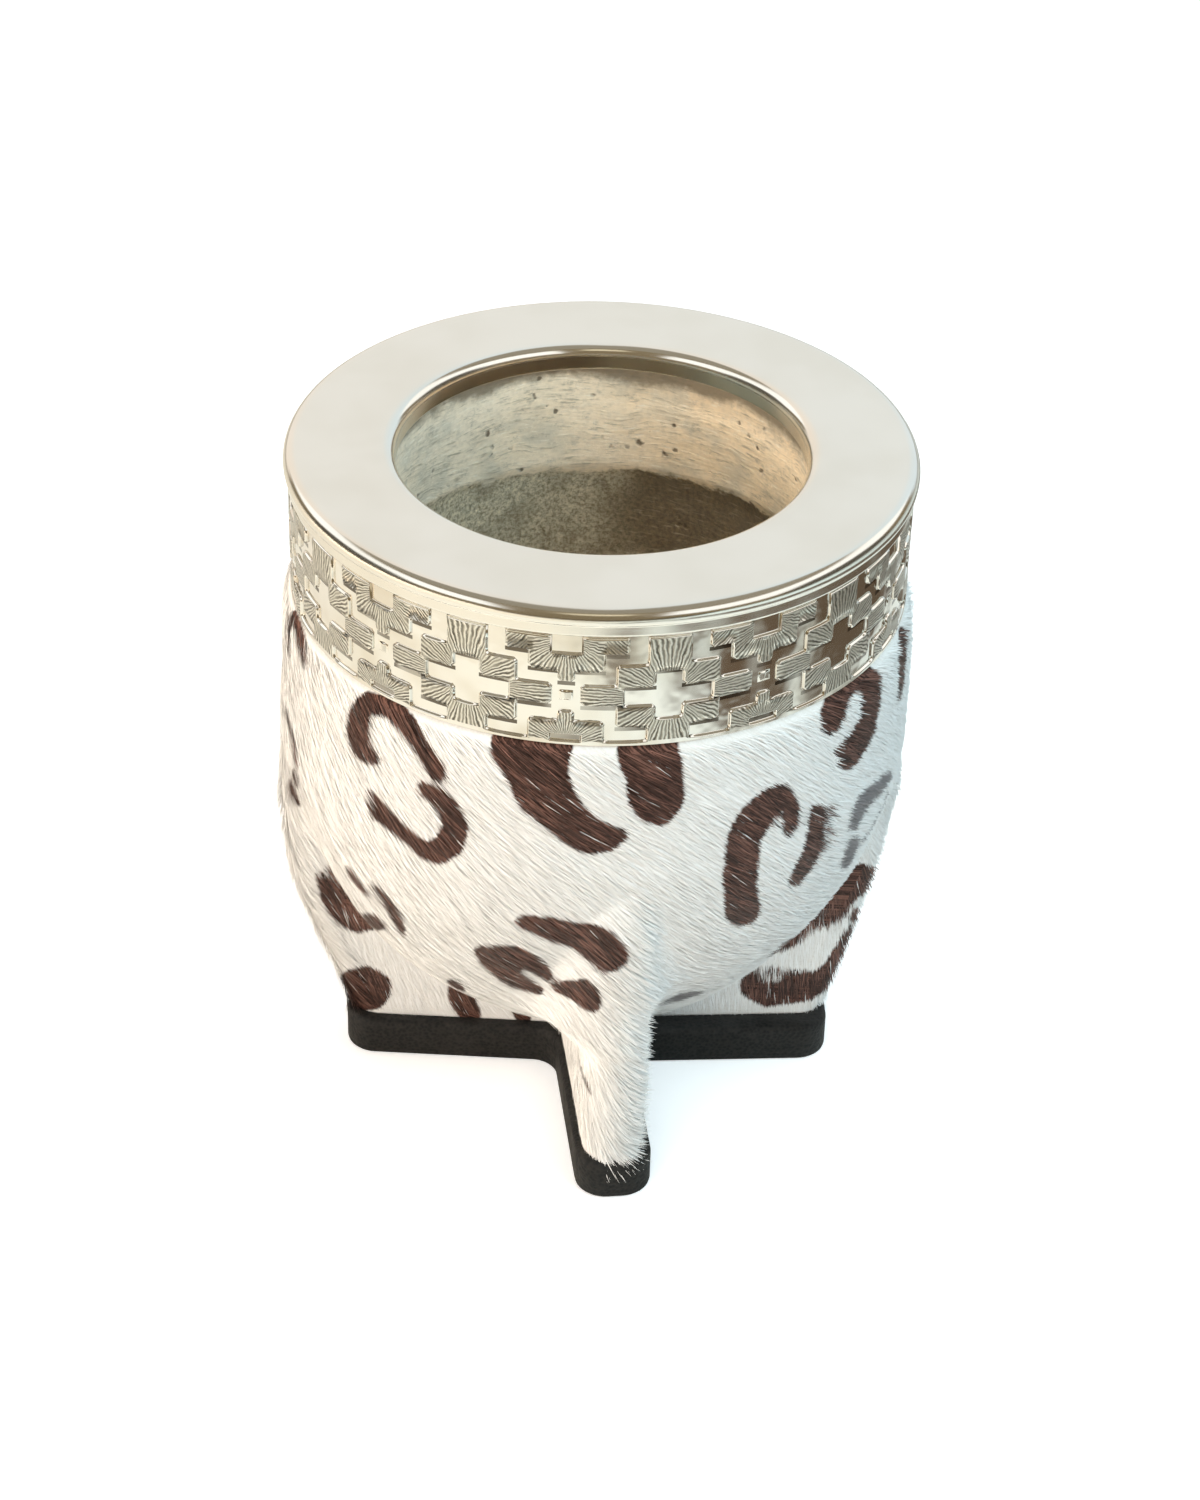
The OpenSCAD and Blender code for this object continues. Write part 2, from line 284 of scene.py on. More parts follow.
class SoleSettings(bpy.types.PropertyGroup):
    leather: bpy.props.FloatVectorProperty(
        name="Sole leather", description="Colour of the black sole", subtype="COLOR",
        default=(0.006, 0.0065, 0.007), min=0, max=1)
    half_width: bpy.props.FloatProperty(
        name="Half width", description="Half the width of an arm of the sole",
        default=0.0057, min=0, unit="LENGTH", precision=5)
    tip_round: bpy.props.FloatProperty(
        name="Tip round", description="Radius of the corners at an arm's tip",
        default=0.0046, min=0, unit="LENGTH", precision=5)
    inner_round: bpy.props.FloatProperty(
        name="Inner round", description="Radius of the corner between two arms",
        default=0.0034, min=0, unit="LENGTH", precision=5)
    edge: bpy.props.FloatProperty(
        name="Edge", description="Radius of the worn top and bottom edges",
        default=0.0008, min=0, unit="LENGTH", precision=5)


class StageSettings(bpy.types.PropertyGroup):
    floor: bpy.props.FloatVectorProperty(
        name="Floor", description="Colour of the floor", subtype="COLOR",
        default=(0.93, 0.93, 0.93), min=0, max=1)
    warm: bpy.props.FloatVectorProperty(
        name="Left light", description="Colour of the light from the left", subtype="COLOR",
        default=(1.0, 0.90, 0.79), min=0, max=1)
    cool: bpy.props.FloatVectorProperty(
        name="Right light", description="Colour of the light from the right", subtype="COLOR",
        default=(0.80, 0.93, 1.0), min=0, max=1)
    eye: bpy.props.FloatVectorProperty(
        name="Camera", description="Where the camera stands", subtype="TRANSLATION", unit="LENGTH",
        default=(0.0009, -0.4470, 0.3585))
    target: bpy.props.FloatVectorProperty(
        name="Aim", description="The point the camera looks at", subtype="TRANSLATION", unit="LENGTH",
        default=(0.0009, 0.0, 0.0556))
    roll: bpy.props.FloatProperty(
        name="Roll", description="Turn of the camera about its own axis",
        default=math.radians(1.6), subtype="ANGLE", unit="ROTATION")
    lens: bpy.props.FloatProperty(
        name="Lens", description="Focal length on a 36 mm sensor, in millimetres", default=86.8, min=1)


class MateSettings(bpy.types.PropertyGroup):
    metal: bpy.props.PointerProperty(type=MetalSettings)
    hide: bpy.props.PointerProperty(type=HideSettings)
    gourd: bpy.props.PointerProperty(type=GourdSettings)
    sole: bpy.props.PointerProperty(type=SoleSettings)
    stage: bpy.props.PointerProperty(type=StageSettings)


class Wire:
    """One output of a node, which sums, differences and products can be written with."""

    def __init__(self, w, socket):
        self.w, self.socket = w, socket

    def __add__(self, other):
        return self.w.math("ADD", self, other)

    def __sub__(self, other):
        return self.w.math("SUBTRACT", self, other)

    def __rsub__(self, other):
        return self.w.math("SUBTRACT", other, self)

    def __mul__(self, other):
        return self.w.math("MULTIPLY", self, other)

    def __truediv__(self, other):
        return self.w.math("DIVIDE", self, other)


class Wiring:
    """Puts nodes into one tree and joins them."""

    def __init__(self, tree):
        self.tree = tree

    def fill(self, node, values):
        """Gives each named input of a node a value, or joins it to an output."""
        for key, value in values.items():
            if isinstance(value, Wire):
                self.tree.links.new(value.socket, node.inputs[key])
            else:
                node.inputs[key].default_value = value

    def node(self, kind, values=None, **settings):
        n = self.tree.nodes.new(kind)
        for name, value in settings.items():
            setattr(n, name, value)
        self.fill(n, values or {})
        return n

    def put(self, kind, values=None, out=0, **settings):
        """One output of a new node."""
        return Wire(self, self.node(kind, values, **settings).outputs[out])

    def several(self, kind, values=None, **settings):
        """All outputs of a new node, by name."""
        return {s.name: Wire(self, s) for s in self.node(kind, values, **settings).outputs}

    def group(self, tree, values):
        return self.several("ShaderNodeGroup", values, node_tree=tree)

    def math(self, operation, *values):
        return self.put("ShaderNodeMath", dict(enumerate(values)), operation=operation)

    def vector_math(self, operation, *values):
        return self.put("ShaderNodeVectorMath", dict(enumerate(values)), operation=operation)

    def mix(self, factor, a, b, blend="MIX"):
        a, b = (c if isinstance(c, Wire) or len(c) == 4 else (*c, 1) for c in (a, b))
        return self.put("ShaderNodeMix", {0: factor, 6: a, 7: b}, 2, data_type="RGBA", blend_type=blend)

    def tint(self, colour, by, share=1.0):
        return self.mix(share, colour, by, "MULTIPLY")

    def coat(self, colour, *coats):
        """A colour with others laid over it in turn, each (mask, colour)."""
        for mask, over in coats:
            colour = self.mix(mask, colour, over)
        return colour

    def step(self, value, low, high, to_low=0.0, to_high=1.0):
        """A soft step of value from low to high."""
        return self.put("ShaderNodeMapRange", {"Value": value, "From Min": low, "From Max": high, "To Min": to_low,
                                               "To Max": to_high}, interpolation_type="SMOOTHSTEP")

    def noise(self, vector, scale, detail=2.0, roughness=0.5, out="Fac"):
        return self.put("ShaderNodeTexNoise", {"Vector": vector, "Scale": scale, "Detail": detail,
                                               "Roughness": roughness}, out)

    def cells(self, vector, scale):
        return self.put("ShaderNodeTexVoronoi", {"Vector": vector, "Scale": scale}, "Distance")

    def stretch(self, vector, scale):
        return self.put("ShaderNodeMapping", {"Vector": vector, "Scale": scale})

    def split(self, vector):
        return tuple(self.several("ShaderNodeSeparateXYZ", {0: vector}).values())

    def vector(self, x=0.0, y=0.0, z=0.0):
        return self.put("ShaderNodeCombineXYZ", {0: x, 1: y, 2: z})

    def radius(self, x, y):
        return self.math("SQRT", x * x + y * y)

    def place(self):
        return self.put("ShaderNodeTexCoord", out="Object")

    def attribute(self, name):
        return self.put("ShaderNodeAttribute", out="Fac", attribute_name=name)

    def bump(self, height, strength, distance):
        return self.put("ShaderNodeBump", {"Height": height, "Strength": strength, "Distance": distance})


class Paint(Wiring):
    """The wiring of a fresh material."""

    def __init__(self, name):
        self.material = bpy.data.materials.new(name)
        self.material.use_nodes = True
        super().__init__(self.material.node_tree)

    def finish(self, looks):
        """Gives the Principled shader its looks, and hands over the material."""
        self.fill(self.tree.nodes["Principled BSDF"], looks)
        return self.material


def shared_group(inputs, outputs):
    """Turns a function that wires up a shader node group into one that hands over the group, built only once.
    Inputs are named with their kind and default, outputs with their kind."""
    def wrap(wire):
        def hand_over():
            if wire.__name__ not in bpy.data.node_groups:
                tree = bpy.data.node_groups.new(wire.__name__, "ShaderNodeTree")
                for label, (kind, default) in inputs.items():
                    socket = tree.interface.new_socket(label, in_out="INPUT", socket_type="NodeSocket" + kind)
                    if default is not None:
                        socket.default_value = default
                for label, kind in outputs.items():
                    tree.interface.new_socket(label, in_out="OUTPUT", socket_type="NodeSocket" + kind)
                w = Wiring(tree)
                w.node("NodeGroupOutput", wire(w, w.several("NodeGroupInput")))
            return bpy.data.node_groups[wire.__name__]
        return hand_over
    return wrap


@shared_group({"Vector": ("Vector", None), "Along": ("Float", 4.0), "Across": ("Float", 900.0)},
              {"Marks": "Float", "Smudge": "Float"})
def lathe_marks(w, given):
    """Fine marks that run round the turning axis, as a tool or a cloth leaves them."""
    x, y, z = w.split(given["Vector"])
    turn = w.math("ARCTAN2", y, x)
    round_it = w.vector(w.math("SINE", turn) * given["Along"], w.math("COSINE", turn) * given["Along"],
                        (z + w.radius(x, y) * 0.9) * given["Across"])
    return {"Marks": w.noise(round_it, 1.0, 4.0, 0.65), "Smudge": w.noise(given["Vector"], 55.0, 3.0, 0.55)}


@shared_group({"Vector": ("Vector", None), "Scale": ("Float", 1400.0), "Patch Scale": ("Float", 120.0)},
              {"Grain": "Float", "Patches": "Float"})
def fine_grain(w, given):
    """Fine pores and soft patches, for leather, rubber and dried skin."""
    where = given["Vector"]
    return {"Grain": w.cells(where, given["Scale"]) * 0.7 + w.noise(where, 1500.0, 3.0, 0.6) * 0.5,
            "Patches": w.noise(where, given["Patch Scale"], 4.0)}


@shared_group({"Print": ("Float", UNPRINTED), "Grey Print": ("Float", UNPRINTED), "Shade": ("Float", 0.5),
               "Lock": ("Float", 0.5), "Rag": ("Float", 1.0), "White": ("Color", (1, 1, 1, 1)),
               "Brown": ("Color", (0, 0, 0, 1)), "Grey": ("Color", (0, 0, 0, 1))},
              {"Colour": "Color", "Printed": "Float"})
def hair_tone(w, given):
    """Colour of the hide or a hair: white with brown and grey print, ragged from hair to hair."""
    shade = given["Shade"]
    shift = (shade - 0.5) * given["Rag"]
    # Now and then a white hair lies across the print
    across = w.math("GREATER_THAN", shade, 0.986) * 0.7
    brown_in = w.step(given["Print"] + shift, 0.22, -0.22) * (1.0 - across)
    grey_in = w.step(given["Grey Print"] + shift * 1.5, 0.35, -0.35)
    flick = w.math("FRACT", shade * 7.31)
    lock = w.step(given["Lock"], 0.42, 0.64)
    white = w.mix(flick * 0.3 + lock * 0.3, given["White"], w.tint(given["White"], (0.80, 0.77, 0.73)))
    light = w.math("POWER", flick, 2.0) * 0.25 + w.math("POWER", lock, 1.5) * 0.75
    brown = w.mix(light, given["Brown"], w.tint(given["Brown"], (10.5, 10.8, 10.8)))
    grey = w.mix(flick, given["Grey"], w.tint(given["Grey"], (1.8, 1.8, 1.8)))
    return {"Colour": w.coat(white, (grey_in * 0.92, grey), (brown_in, brown)), "Printed": brown_in}


def lock_streaks(w, where, slant):
    """Long thin locks that lie along the slant of the hair round the belly, from 0 to 1."""
    x, y, z = w.split(where)
    level = w.math("ARCTAN2", y, x) * (BELLY_R * MM)
    c, s = math.cos(slant), math.sin(slant)
    return w.noise(w.vector((level * s + z * c) * 3600.0, (level * c - z * s) * 300.0), 1.0)


def polished_metal(settings, name, roughness, across):
    """Nickel-white polished metal with faint turning marks and handling smudges."""
    w = Paint(name)
    marks = w.group(lathe_marks(), {"Vector": w.place(), "Along": 3.0, "Across": across})
    tone = w.step(marks["Smudge"], 0.35, 0.7)
    return w.finish({
        "Base Color": w.mix(tone, settings.silver, w.tint(settings.silver, (0.955, 0.95, 0.935))),
        "Roughness": marks["Marks"] * 0.10 + tone * 0.05 + roughness,
        "Normal": w.bump(marks["Marks"], 0.05, 0.0001), "Metallic": 1.0})


def chiselled_metal(settings):
    """The band's metal: polished ground with soft dents, blocks cut with fine lines, shade painted under them."""
    w = Paint("chiselled_metal")
    place, hatched = w.place(), w.attribute("hatched")
    lines = w.put("ShaderNodeUVMap", uv_map="hatch")
    side, along, _ = w.split(lines)
    pitch = settings.hatch_pitch / MM
    wander = (w.noise(w.stretch(lines, (1.1, 0.5, 1.0)), 1.0, 3.0) - 0.5) * 1.1
    across = (side + wander * (pitch * 1.4)) / pitch
    wave = w.math("SINE", across * math.tau) * 0.5 + 0.5
    # Each stroke bites differently deep, and fades towards its ends
    bite = w.noise(w.vector(w.math("FLOOR", across + 0.25), along * 0.35), 0.77, 1.0)
    bite = w.step(bite, 0.25, 0.65, 0.35, 1.0)
    cut = w.step(wave, 0.45, 0.9) * bite * hatched
    ridge = w.step(wave, 0.25, 0.05) * bite
    tarnish = w.noise(place, 110.0)
    ground = w.mix(w.step(tarnish, 0.42, 0.72), settings.silver, w.tint(settings.silver, (0.86, 0.82, 0.76)))
    block = w.coat(settings.chiselled, (ridge * 0.85, (0.93, 0.90, 0.83)), (cut * 0.9, settings.cut_dark))
    # Painted shade lies in the corner under each block and in the gap under the skirt, more here and less there
    painted_shade = w.attribute("painted_shade") * w.step(w.noise(place, 130.0, 1.0), 0.35, 0.6, 0.5, 1.0)
    dents = w.noise(place, 210.0) * (1.0 - hatched)
    return w.finish({
        "Base Color": w.coat(ground, (hatched, block), (painted_shade, (0.085, 0.066, 0.045))),
        "Roughness": hatched * 0.22 + tarnish * 0.16,
        "Normal": w.bump(dents - cut * 0.9, 0.6, 0.00013), "Metallic": 1.0})


def gourd_skin(settings):
    """Dried gourd: scraped pale wall with tool lines and specks, warm light painted on its right, darker wall below."""
    w = Paint("dried_gourd")
    place = w.place()
    x, _, z = w.split(place)
    # The scraper wandered up and down as it went round
    sway = (w.noise(place, 60.0) - 0.5) * 0.0045
    scraped = w.vector_math("ADD", place, w.vector(z=sway))
    fine, coarse = (w.group(lathe_marks(), {"Vector": scraped, "Along": along, "Across": across})["Marks"]
                    for along, across in ((9.0, 2600.0), (4.0, 600.0)))
    grain = w.group(fine_grain(), {"Vector": place, "Scale": 1300.0, "Patch Scale": 140.0})
    patches = grain["Patches"]
    cloud = (w.noise(place, 45.0, 3.0) - 0.5) * 0.05
    blotch = w.noise(w.stretch(place, (1.0, 1.0, 1.6)), 330.0, 7.0, 0.78)
    jitter = w.vector_math("MULTIPLY", w.noise(place, 500.0, out="Color"), (0.0022, 0.0022, 0.0022))
    specks = w.cells(w.vector_math("ADD", jitter, place), 380.0)
    speck = w.step(specks, 0.25, 0.12) * w.step(w.noise(place, 150.0), 0.51, 0.61)
    # Painted warm light: the scraped wall takes a warmer colour on the right
    pale = w.coat(
        settings.wall, (w.step(x + cloud, -0.022, 0.026), settings.wall_lit_right),
        (w.step(patches, 0.46, 0.72, 0.0, 0.55), (0.50, 0.49, 0.42)),
        (w.step(grain["Grain"], 0.35, 0.75, 0.18, 0.0), (0.40, 0.36, 0.28)),
        (w.step(coarse, 0.55, 0.72, 0.0, 0.5), (0.42, 0.38, 0.30)),
        (w.step(blotch, 0.52, 0.70, 0.0, 0.75), (0.36, 0.33, 0.26)),
        (w.step(fine, 0.44, 0.30, 0.0, 0.6), (0.97, 0.92, 0.80)),
        (w.step(fine, 0.54, 0.70, 0.0, 0.75), (0.34, 0.30, 0.23)),
        (speck * 0.85, (0.09, 0.07, 0.05)))
    # Further down the wall is darker, and darker still on the right
    dark = w.coat(
        settings.deep_wall, (w.step(x + cloud * 0.6, -0.006, 0.010), settings.deep_wall_right),
        (w.step(w.noise(place, 1700.0, 5.0, 0.75), 0.66, 0.34, 0.0, 0.8), (0.10, 0.08, 0.055)),
        (w.step(patches, 0.5, 0.72, 0.0, 0.5), (0.16, 0.13, 0.09)),
        (w.step(fine, 0.46, 0.30, 0.0, 0.35), (0.55, 0.48, 0.36)))
    wave = (w.noise(place, 95.0, 7.0, 0.68) - 0.5) * 0.009
    collar = COLLAR_Z * MM
    edge = collar - settings.deep_wall_depth
    deep = w.step(z + wave, edge + 0.0005, edge - 0.0005)
    # A dark brown line of painted shade sits right under the collar
    collar_shadow = w.step(z + wave * 0.8, collar - 0.0034, collar - 0.0012)
    return w.finish({
        "Base Color": w.coat(pale, (deep, dark), (collar_shadow * 0.85, (0.16, 0.13, 0.09))),
        "Roughness": w.step(patches, 0.3, 0.7, 0.62, 0.85),
        "Normal": w.bump(fine * 0.8 + (coarse * 0.8 - speck), 0.5, 0.0004), "Specular IOR Level": 0.3})


def print_tone(w, settings, shade, lock, rag):
    """The printed colour at a spot of the hide or of a hair."""
    return w.group(hair_tone(), {
        "Print": w.attribute("print"), "Grey Print": w.attribute("grey_print"), "Shade": shade, "Lock": lock,
        "Rag": rag, "White": (*settings.white, 1), "Brown": (*settings.brown, 1), "Grey": (*settings.grey, 1)})


def haired_skin(settings):
    """The cover's own surface below the hair, with the same print."""
    w = Paint("hide_skin")
    place = w.place()
    streak = w.noise(place, 900.0)
    tone = print_tone(w, settings, streak, lock_streaks(w, place, settings.hair_slant), 0.7)
    return w.finish({
        "Base Color": w.tint(tone["Colour"], (0.62, 0.57, 0.52), 0.25), "Normal": w.bump(streak, 0.4, 0.0002),
        "Roughness": w.step(streak, 0.3, 0.7, 0.6, 0.75), "Specular IOR Level": 0.25})


def short_hair(settings):
    """The hair itself, with a little shine along each hair."""
    w = Paint("short_hair")
    tone = print_tone(w, settings, w.attribute("shade"), w.attribute("lock"), 0.5)
    return w.finish({"Base Color": tone["Colour"], "Roughness": w.step(tone["Printed"], 0.0, 1.0, 0.55, 0.42),
                     "Specular IOR Level": 0.35})


def sole_leather(settings):
    """Black matt leather with a fine grain, greyer where its edges rub."""
    w = Paint("sole_leather")
    place = w.place()
    grain = w.group(fine_grain(), {"Vector": place, "Scale": 1800.0, "Patch Scale": 140.0})
    layers = w.noise(w.stretch(place, (90.0, 90.0, 1600.0)), 1.0, 3.0)
    rub = w.step(w.split(place)[2], (SOLE_TOP_Z - 1.4) * MM, SOLE_TOP_Z * MM) * w.step(grain["Patches"], 0.4, 0.65)
    return w.finish({
        "Base Color": w.coat(settings.leather, (w.step(grain["Grain"], 0.35, 0.8), (0.016, 0.015, 0.014)),
                             (w.step(layers, 0.5, 0.8, 0.0, 0.5), (0.020, 0.018, 0.016)),
                             (rub * 0.35, (0.045, 0.042, 0.039))),
        "Roughness": w.step(grain["Patches"], 0.3, 0.7, 0.55, 0.72),
        "Normal": w.bump(grain["Grain"] + layers * 0.5, 0.4, 0.00025), "Specular IOR Level": 0.25})


def plain_filler(name, colour, dark, scale):
    """A hidden filler: pressed fibre or scrap leather."""
    w = Paint(name)
    grain = w.group(fine_grain(), {"Vector": w.place(), "Scale": scale, "Patch Scale": 200.0})
    return w.finish({
        "Base Color": w.mix(w.step(grain["Patches"], 0.35, 0.65), colour, dark),
        "Roughness": w.step(grain["Grain"], 0.2, 0.9, 0.7, 0.9), "Normal": w.bump(grain["Grain"], 0.5, 0.0004)})


class Outline:
    """A profile drawn in the X-Z plane with a pen, in millimetres, then turned about Z."""

    def __init__(self, r, z):
        self.bm = bmesh.new()
        self.first = self.at = Vector((r, 0, z))
        self.bm.verts.new(self.at)

    def vert(self, place):
        """The profile's own vertex at a place, because cutting an edge renews its ends."""
        return min(self.bm.verts, key=lambda v: (v.co - place).length)

    def line(self, r, z, cuts=0):
        out = bmesh.ops.extrude_vert_indiv(self.bm, verts=[self.vert(self.at)])
        self.at = Vector((r, 0, z))
        out["verts"][0].co = self.at
        if cuts:
            bmesh.ops.subdivide_edges(self.bm, edges=out["edges"], cuts=cuts)
        return self

    def arc(self, r, z, degrees, steps):
        """Turns the pen clockwise about a centre."""
        out = bmesh.ops.spin(self.bm, geom=[self.vert(self.at)], cent=(r, 0, z), axis=(0, 1, 0),
                             angle=math.radians(degrees), steps=steps)
        self.at = only(bmesh.types.BMVert, out["geom_last"])[0].co.copy()
        return self

    def close(self):
        self.bm.edges.new((self.vert(self.at), self.vert(self.first)))
        return self

    def turn(self, steps):
        """The whole ring, with its seam and any pole merged and its faces outwards."""
        bm = self.bm
        bmesh.ops.spin(bm, geom=bm.verts[:] + bm.edges[:], cent=(0, 0, 0), axis=(0, 0, 1), angle=math.tau,
                       steps=steps, use_merge=True)
        bmesh.ops.remove_doubles(bm, verts=bm.verts, dist=0.0005)
        bmesh.ops.recalc_face_normals(bm, faces=bm.faces)
        return bm


def only(kind, geom):
    """The vertices, edges or faces among an operator's results."""
    return [g for g in geom if isinstance(g, kind)]


def bevel(bm, geom, radius, segments, affect="EDGES"):
    bmesh.ops.bevel(bm, geom=geom, offset=radius, offset_type="OFFSET", segments=segments, profile=0.5,
                    affect=affect, material=-1)


def round_ring(bm, r, z, radius, segments=3):
    """Rounds the sharp ring edge at a radius and height."""
    ring = [e for e in bm.edges if all(
        abs(v.co.z - z) < 0.01 and abs(math.hypot(v.co.x, v.co.y) - r) < 0.01 for v in e.verts)]
    if not ring:
        raise RuntimeError(f"no ring edge at radius {r} and height {z}")
    bevel(bm, ring, radius, segments)


def slice_at(bm, place, way, geom=None, dist=0.01, clear=False):
    """Cuts a mesh, or some of it, along a plane, and takes away what lies beyond where asked."""
    if geom is None:
        geom = bm.verts[:] + bm.edges[:] + bm.faces[:]
    bmesh.ops.bisect_plane(bm, geom=geom, dist=dist, plane_co=place, plane_no=way, clear_outer=clear)


def face_outwards(bm, face):
    """Turns all faces the same way round, and the given one away from the axis."""
    bmesh.ops.recalc_face_normals(bm, faces=bm.faces)
    if face.normal.dot(face.calc_center_median() * Vector((1, 1, 0))) < 0:
        bmesh.ops.reverse_faces(bm, faces=bm.faces)


def set_radius(v, r):
    """Moves a vertex to another distance from the axis."""
    share = r / math.hypot(v.co.x, v.co.y)
    v.co.x *= share
    v.co.y *= share


def to_mesh(name, bm):
    mesh = bpy.data.meshes.new(name)
    bm.to_mesh(mesh)
    bm.free()
    return mesh


def add_piece(name, bm, material, nodes):
    """Turns a bmesh in millimetres into a shown piece that stands for CAD nodes."""
    bmesh.ops.scale(bm, vec=(MM, MM, MM), verts=bm.verts)
    return add_mesh(name, to_mesh(name, bm), material, nodes)


def add_mesh(name, mesh, material, nodes):
    mesh.shade_smooth()
    mesh.materials.clear()
    mesh.materials.append(material)
    piece = bpy.data.objects.new(name, mesh)
    bpy.context.scene.collection.objects.link(piece)
    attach(piece, "root")
    if nodes:
        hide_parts(*nodes)
    return piece


class MATE_OT_rim(bpy.types.Operator):
    """Lathe the sheet-metal rim with its lip, rolled edge and skirt"""
    bl_idname = "mate.rim"
    bl_label = "Rim"

    def execute(self, context):
        s = context.scene.mate_gourd.metal
        roll, sheet = s.edge_roll / MM, s.sheet / MM
        roll_r, lip_r, mid_z = RIM_R - roll, COLLAR_R - sheet + roll, TOP_Z - roll
        skirt_r, skirt_in_r = RIM_R - SKIRT_BACK, RIM_R - SKIRT_IN_BACK
        inner, tilt = roll - sheet, math.radians(15)
        pen = Outline(COLLAR_R - sheet, mid_z)
        pen.arc(lip_r, mid_z, 90, 12).line(roll_r, TOP_Z, 8).arc(roll_r, mid_z, 110, 18)
        pen.line(skirt_r, mid_z - roll / 2).line(skirt_r, mid_z - roll / 2 - 0.1)
        pen.line(skirt_r, SKIRT_Z + 0.45, 1).line(skirt_r, SKIRT_Z).line(skirt_in_r, SKIRT_Z)
        pen.line(skirt_in_r, mid_z).line(roll_r + inner * math.cos(tilt), mid_z + inner * math.sin(tilt))
        pen.arc(roll_r, mid_z, -75, 6).line(lip_r, TOP_Z - sheet, 4).arc(lip_r, mid_z, -90, 6).close()
        bm = pen.turn(192)
        round_ring(bm, skirt_r, SKIRT_Z, 0.35)
        round_ring(bm, skirt_in_r, SKIRT_Z, 0.15, 2)
        # A hand-spun sheet is never quite true
        for v in bm.verts:
            if v.co.z > SKIRT_Z + 1:
                v.co.z -= 0.10 * max(0.0, 0.5 + 0.5 * noise.noise(Vector((v.co.x, v.co.y, 0)) * 0.05))
        add_piece("rim", bm, polished_metal(s, "rim_metal", 0.10, 1500.0), ["rim_plate"])
        return {"FINISHED"}


class MATE_OT_collar(bpy.types.Operator):
    """Lathe the short throat collar with a beaded lower edge"""
    bl_idname = "mate.collar"
    bl_label = "Throat collar"

    def execute(self, context):
        s = context.scene.mate_gourd.metal
        in_r = COLLAR_R - s.sheet / MM
        pen = Outline(in_r, LIP_Z).line(COLLAR_R, LIP_Z).line(COLLAR_R, COLLAR_Z, 3).line(in_r, COLLAR_Z)
        bm = pen.line(in_r, LIP_Z - 0.02, 3).close().turn(160)
        round_ring(bm, in_r, COLLAR_Z, 0.32, 4)
        round_ring(bm, COLLAR_R, COLLAR_Z, 0.2, 2)
        add_piece("collar", bm, polished_metal(s, "collar_metal", 0.14, 1900.0), ["throat_collar"])
        return {"FINISHED"}


def all_blocks():
    """Every block of one repeat, measured from the middle of its diamond."""
    yield from DIAMOND_BLOCKS
    for x0, x1, z0, z1, kind in HALF_DIAMOND_BLOCKS:
        yield HALF_REPEAT - x1, HALF_REPEAT - x0, z0, z1, kind
        yield x0 - HALF_REPEAT, x1 - HALF_REPEAT, z0, z1, kind


def pattern_kind(x, z):
    """The kind of raised block at a spot of one repeat, or 0 on the polished ground."""
    if BORDER_ROW[0] < z < BORDER_ROW[1]:
        return BORDER
    for x0, x1, z0, z1, kind in DIAMOND_BLOCKS:
        if x0 < x < x1 and z0 < z < z1:
            return kind
    for x0, x1, z0, z1, kind in HALF_DIAMOND_BLOCKS:
        if x0 < HALF_REPEAT - abs(x) < x1 and z0 < z < z1:
            return kind
    return 0


def shade_below(x, z):
    """Whether a spot of the ground lies right below a block, where shade is painted."""
    return any(x0 < x < x1 and z0 - SHADE_REACH < z < z0 for x0, x1, z0, _, kind in all_blocks() if kind != STUD)


def pattern_plate():
    """One flat repeat of the band, cut along every line of its pattern, its blocks marked."""
    bm = bmesh.new()
    bmesh.ops.create_grid(bm, x_segments=1, y_segments=1, size=1.0)
    bmesh.ops.scale(bm, vec=(HALF_REPEAT, (BAND_TOP_Z - BAND_Z) / 2, 1), verts=bm.verts)
    bmesh.ops.translate(bm, vec=(0, (BAND_TOP_Z + BAND_Z) / 2, 0), verts=bm.verts)
    blocks = DIAMOND_BLOCKS + HALF_DIAMOND_BLOCKS
    rows = set(BORDER_ROW) | {b[2] - SHADE_REACH for b in blocks if b[2] > SHADE_LOW_Z and b[4] != STUD}
    rows |= {z for b in blocks for z in b[2:4]}
    columns = {x for b in DIAMOND_BLOCKS for x in b[:2]}
    columns |= {side * (HALF_REPEAT - x) for b in HALF_DIAMOND_BLOCKS for x in b[:2] for side in (-1, 1)}
    # Wide gaps get cuts of their own, so that the bent plate stays round
    lines = sorted(columns | {-HALF_REPEAT, HALF_REPEAT})
    for left, right in zip(lines, lines[1:]):
        parts = math.ceil((right - left) / WIDEST_FACE)
        columns |= {left + (right - left) * i / parts for i in range(1, parts)}
    for values, way in ((sorted(columns), Vector((1, 0, 0))), (sorted(rows), Vector((0, 1, 0)))):
        for value in values:
            slice_at(bm, way * value, way)
    bm.faces.layers.float.new("hatched")
    painted_shade = bm.faces.layers.float.new("painted_shade")
    kinds = bm.faces.layers.int.new("kind")
    hatch = bm.loops.layers.uv.new("hatch")
    for f in bm.faces:
        middle = f.calc_center_median()
        f[kinds] = pattern_kind(middle.x, middle.y)
    cut_corners(bm, kinds)
    for f in bm.faces:
        middle = f.calc_center_median()
        # Shade is painted on the ground right below each block
        f[painted_shade] = 0.92 if not f[kinds] and shade_below(middle.x, middle.y) else 0.0
        for loop in f.loops:
            loop[hatch].uv = hatch_spot(f[kinds], middle.x, loop.vert.co.x, loop.vert.co.y)
    return bm


def corner_faces(bm, kinds, place, way, reach):
    """The raised faces that a corner's cut runs through, or that lie beyond it."""
    near = []
    for f in bm.faces:
        into = f.calc_center_median() - place
        if (f[kinds] and into.x * way.x > 0 and into.y * way.y > 0
                and min((v.co - place).dot(way) for v in f.verts) < reach - 0.01):
            near.append(f)
    return near


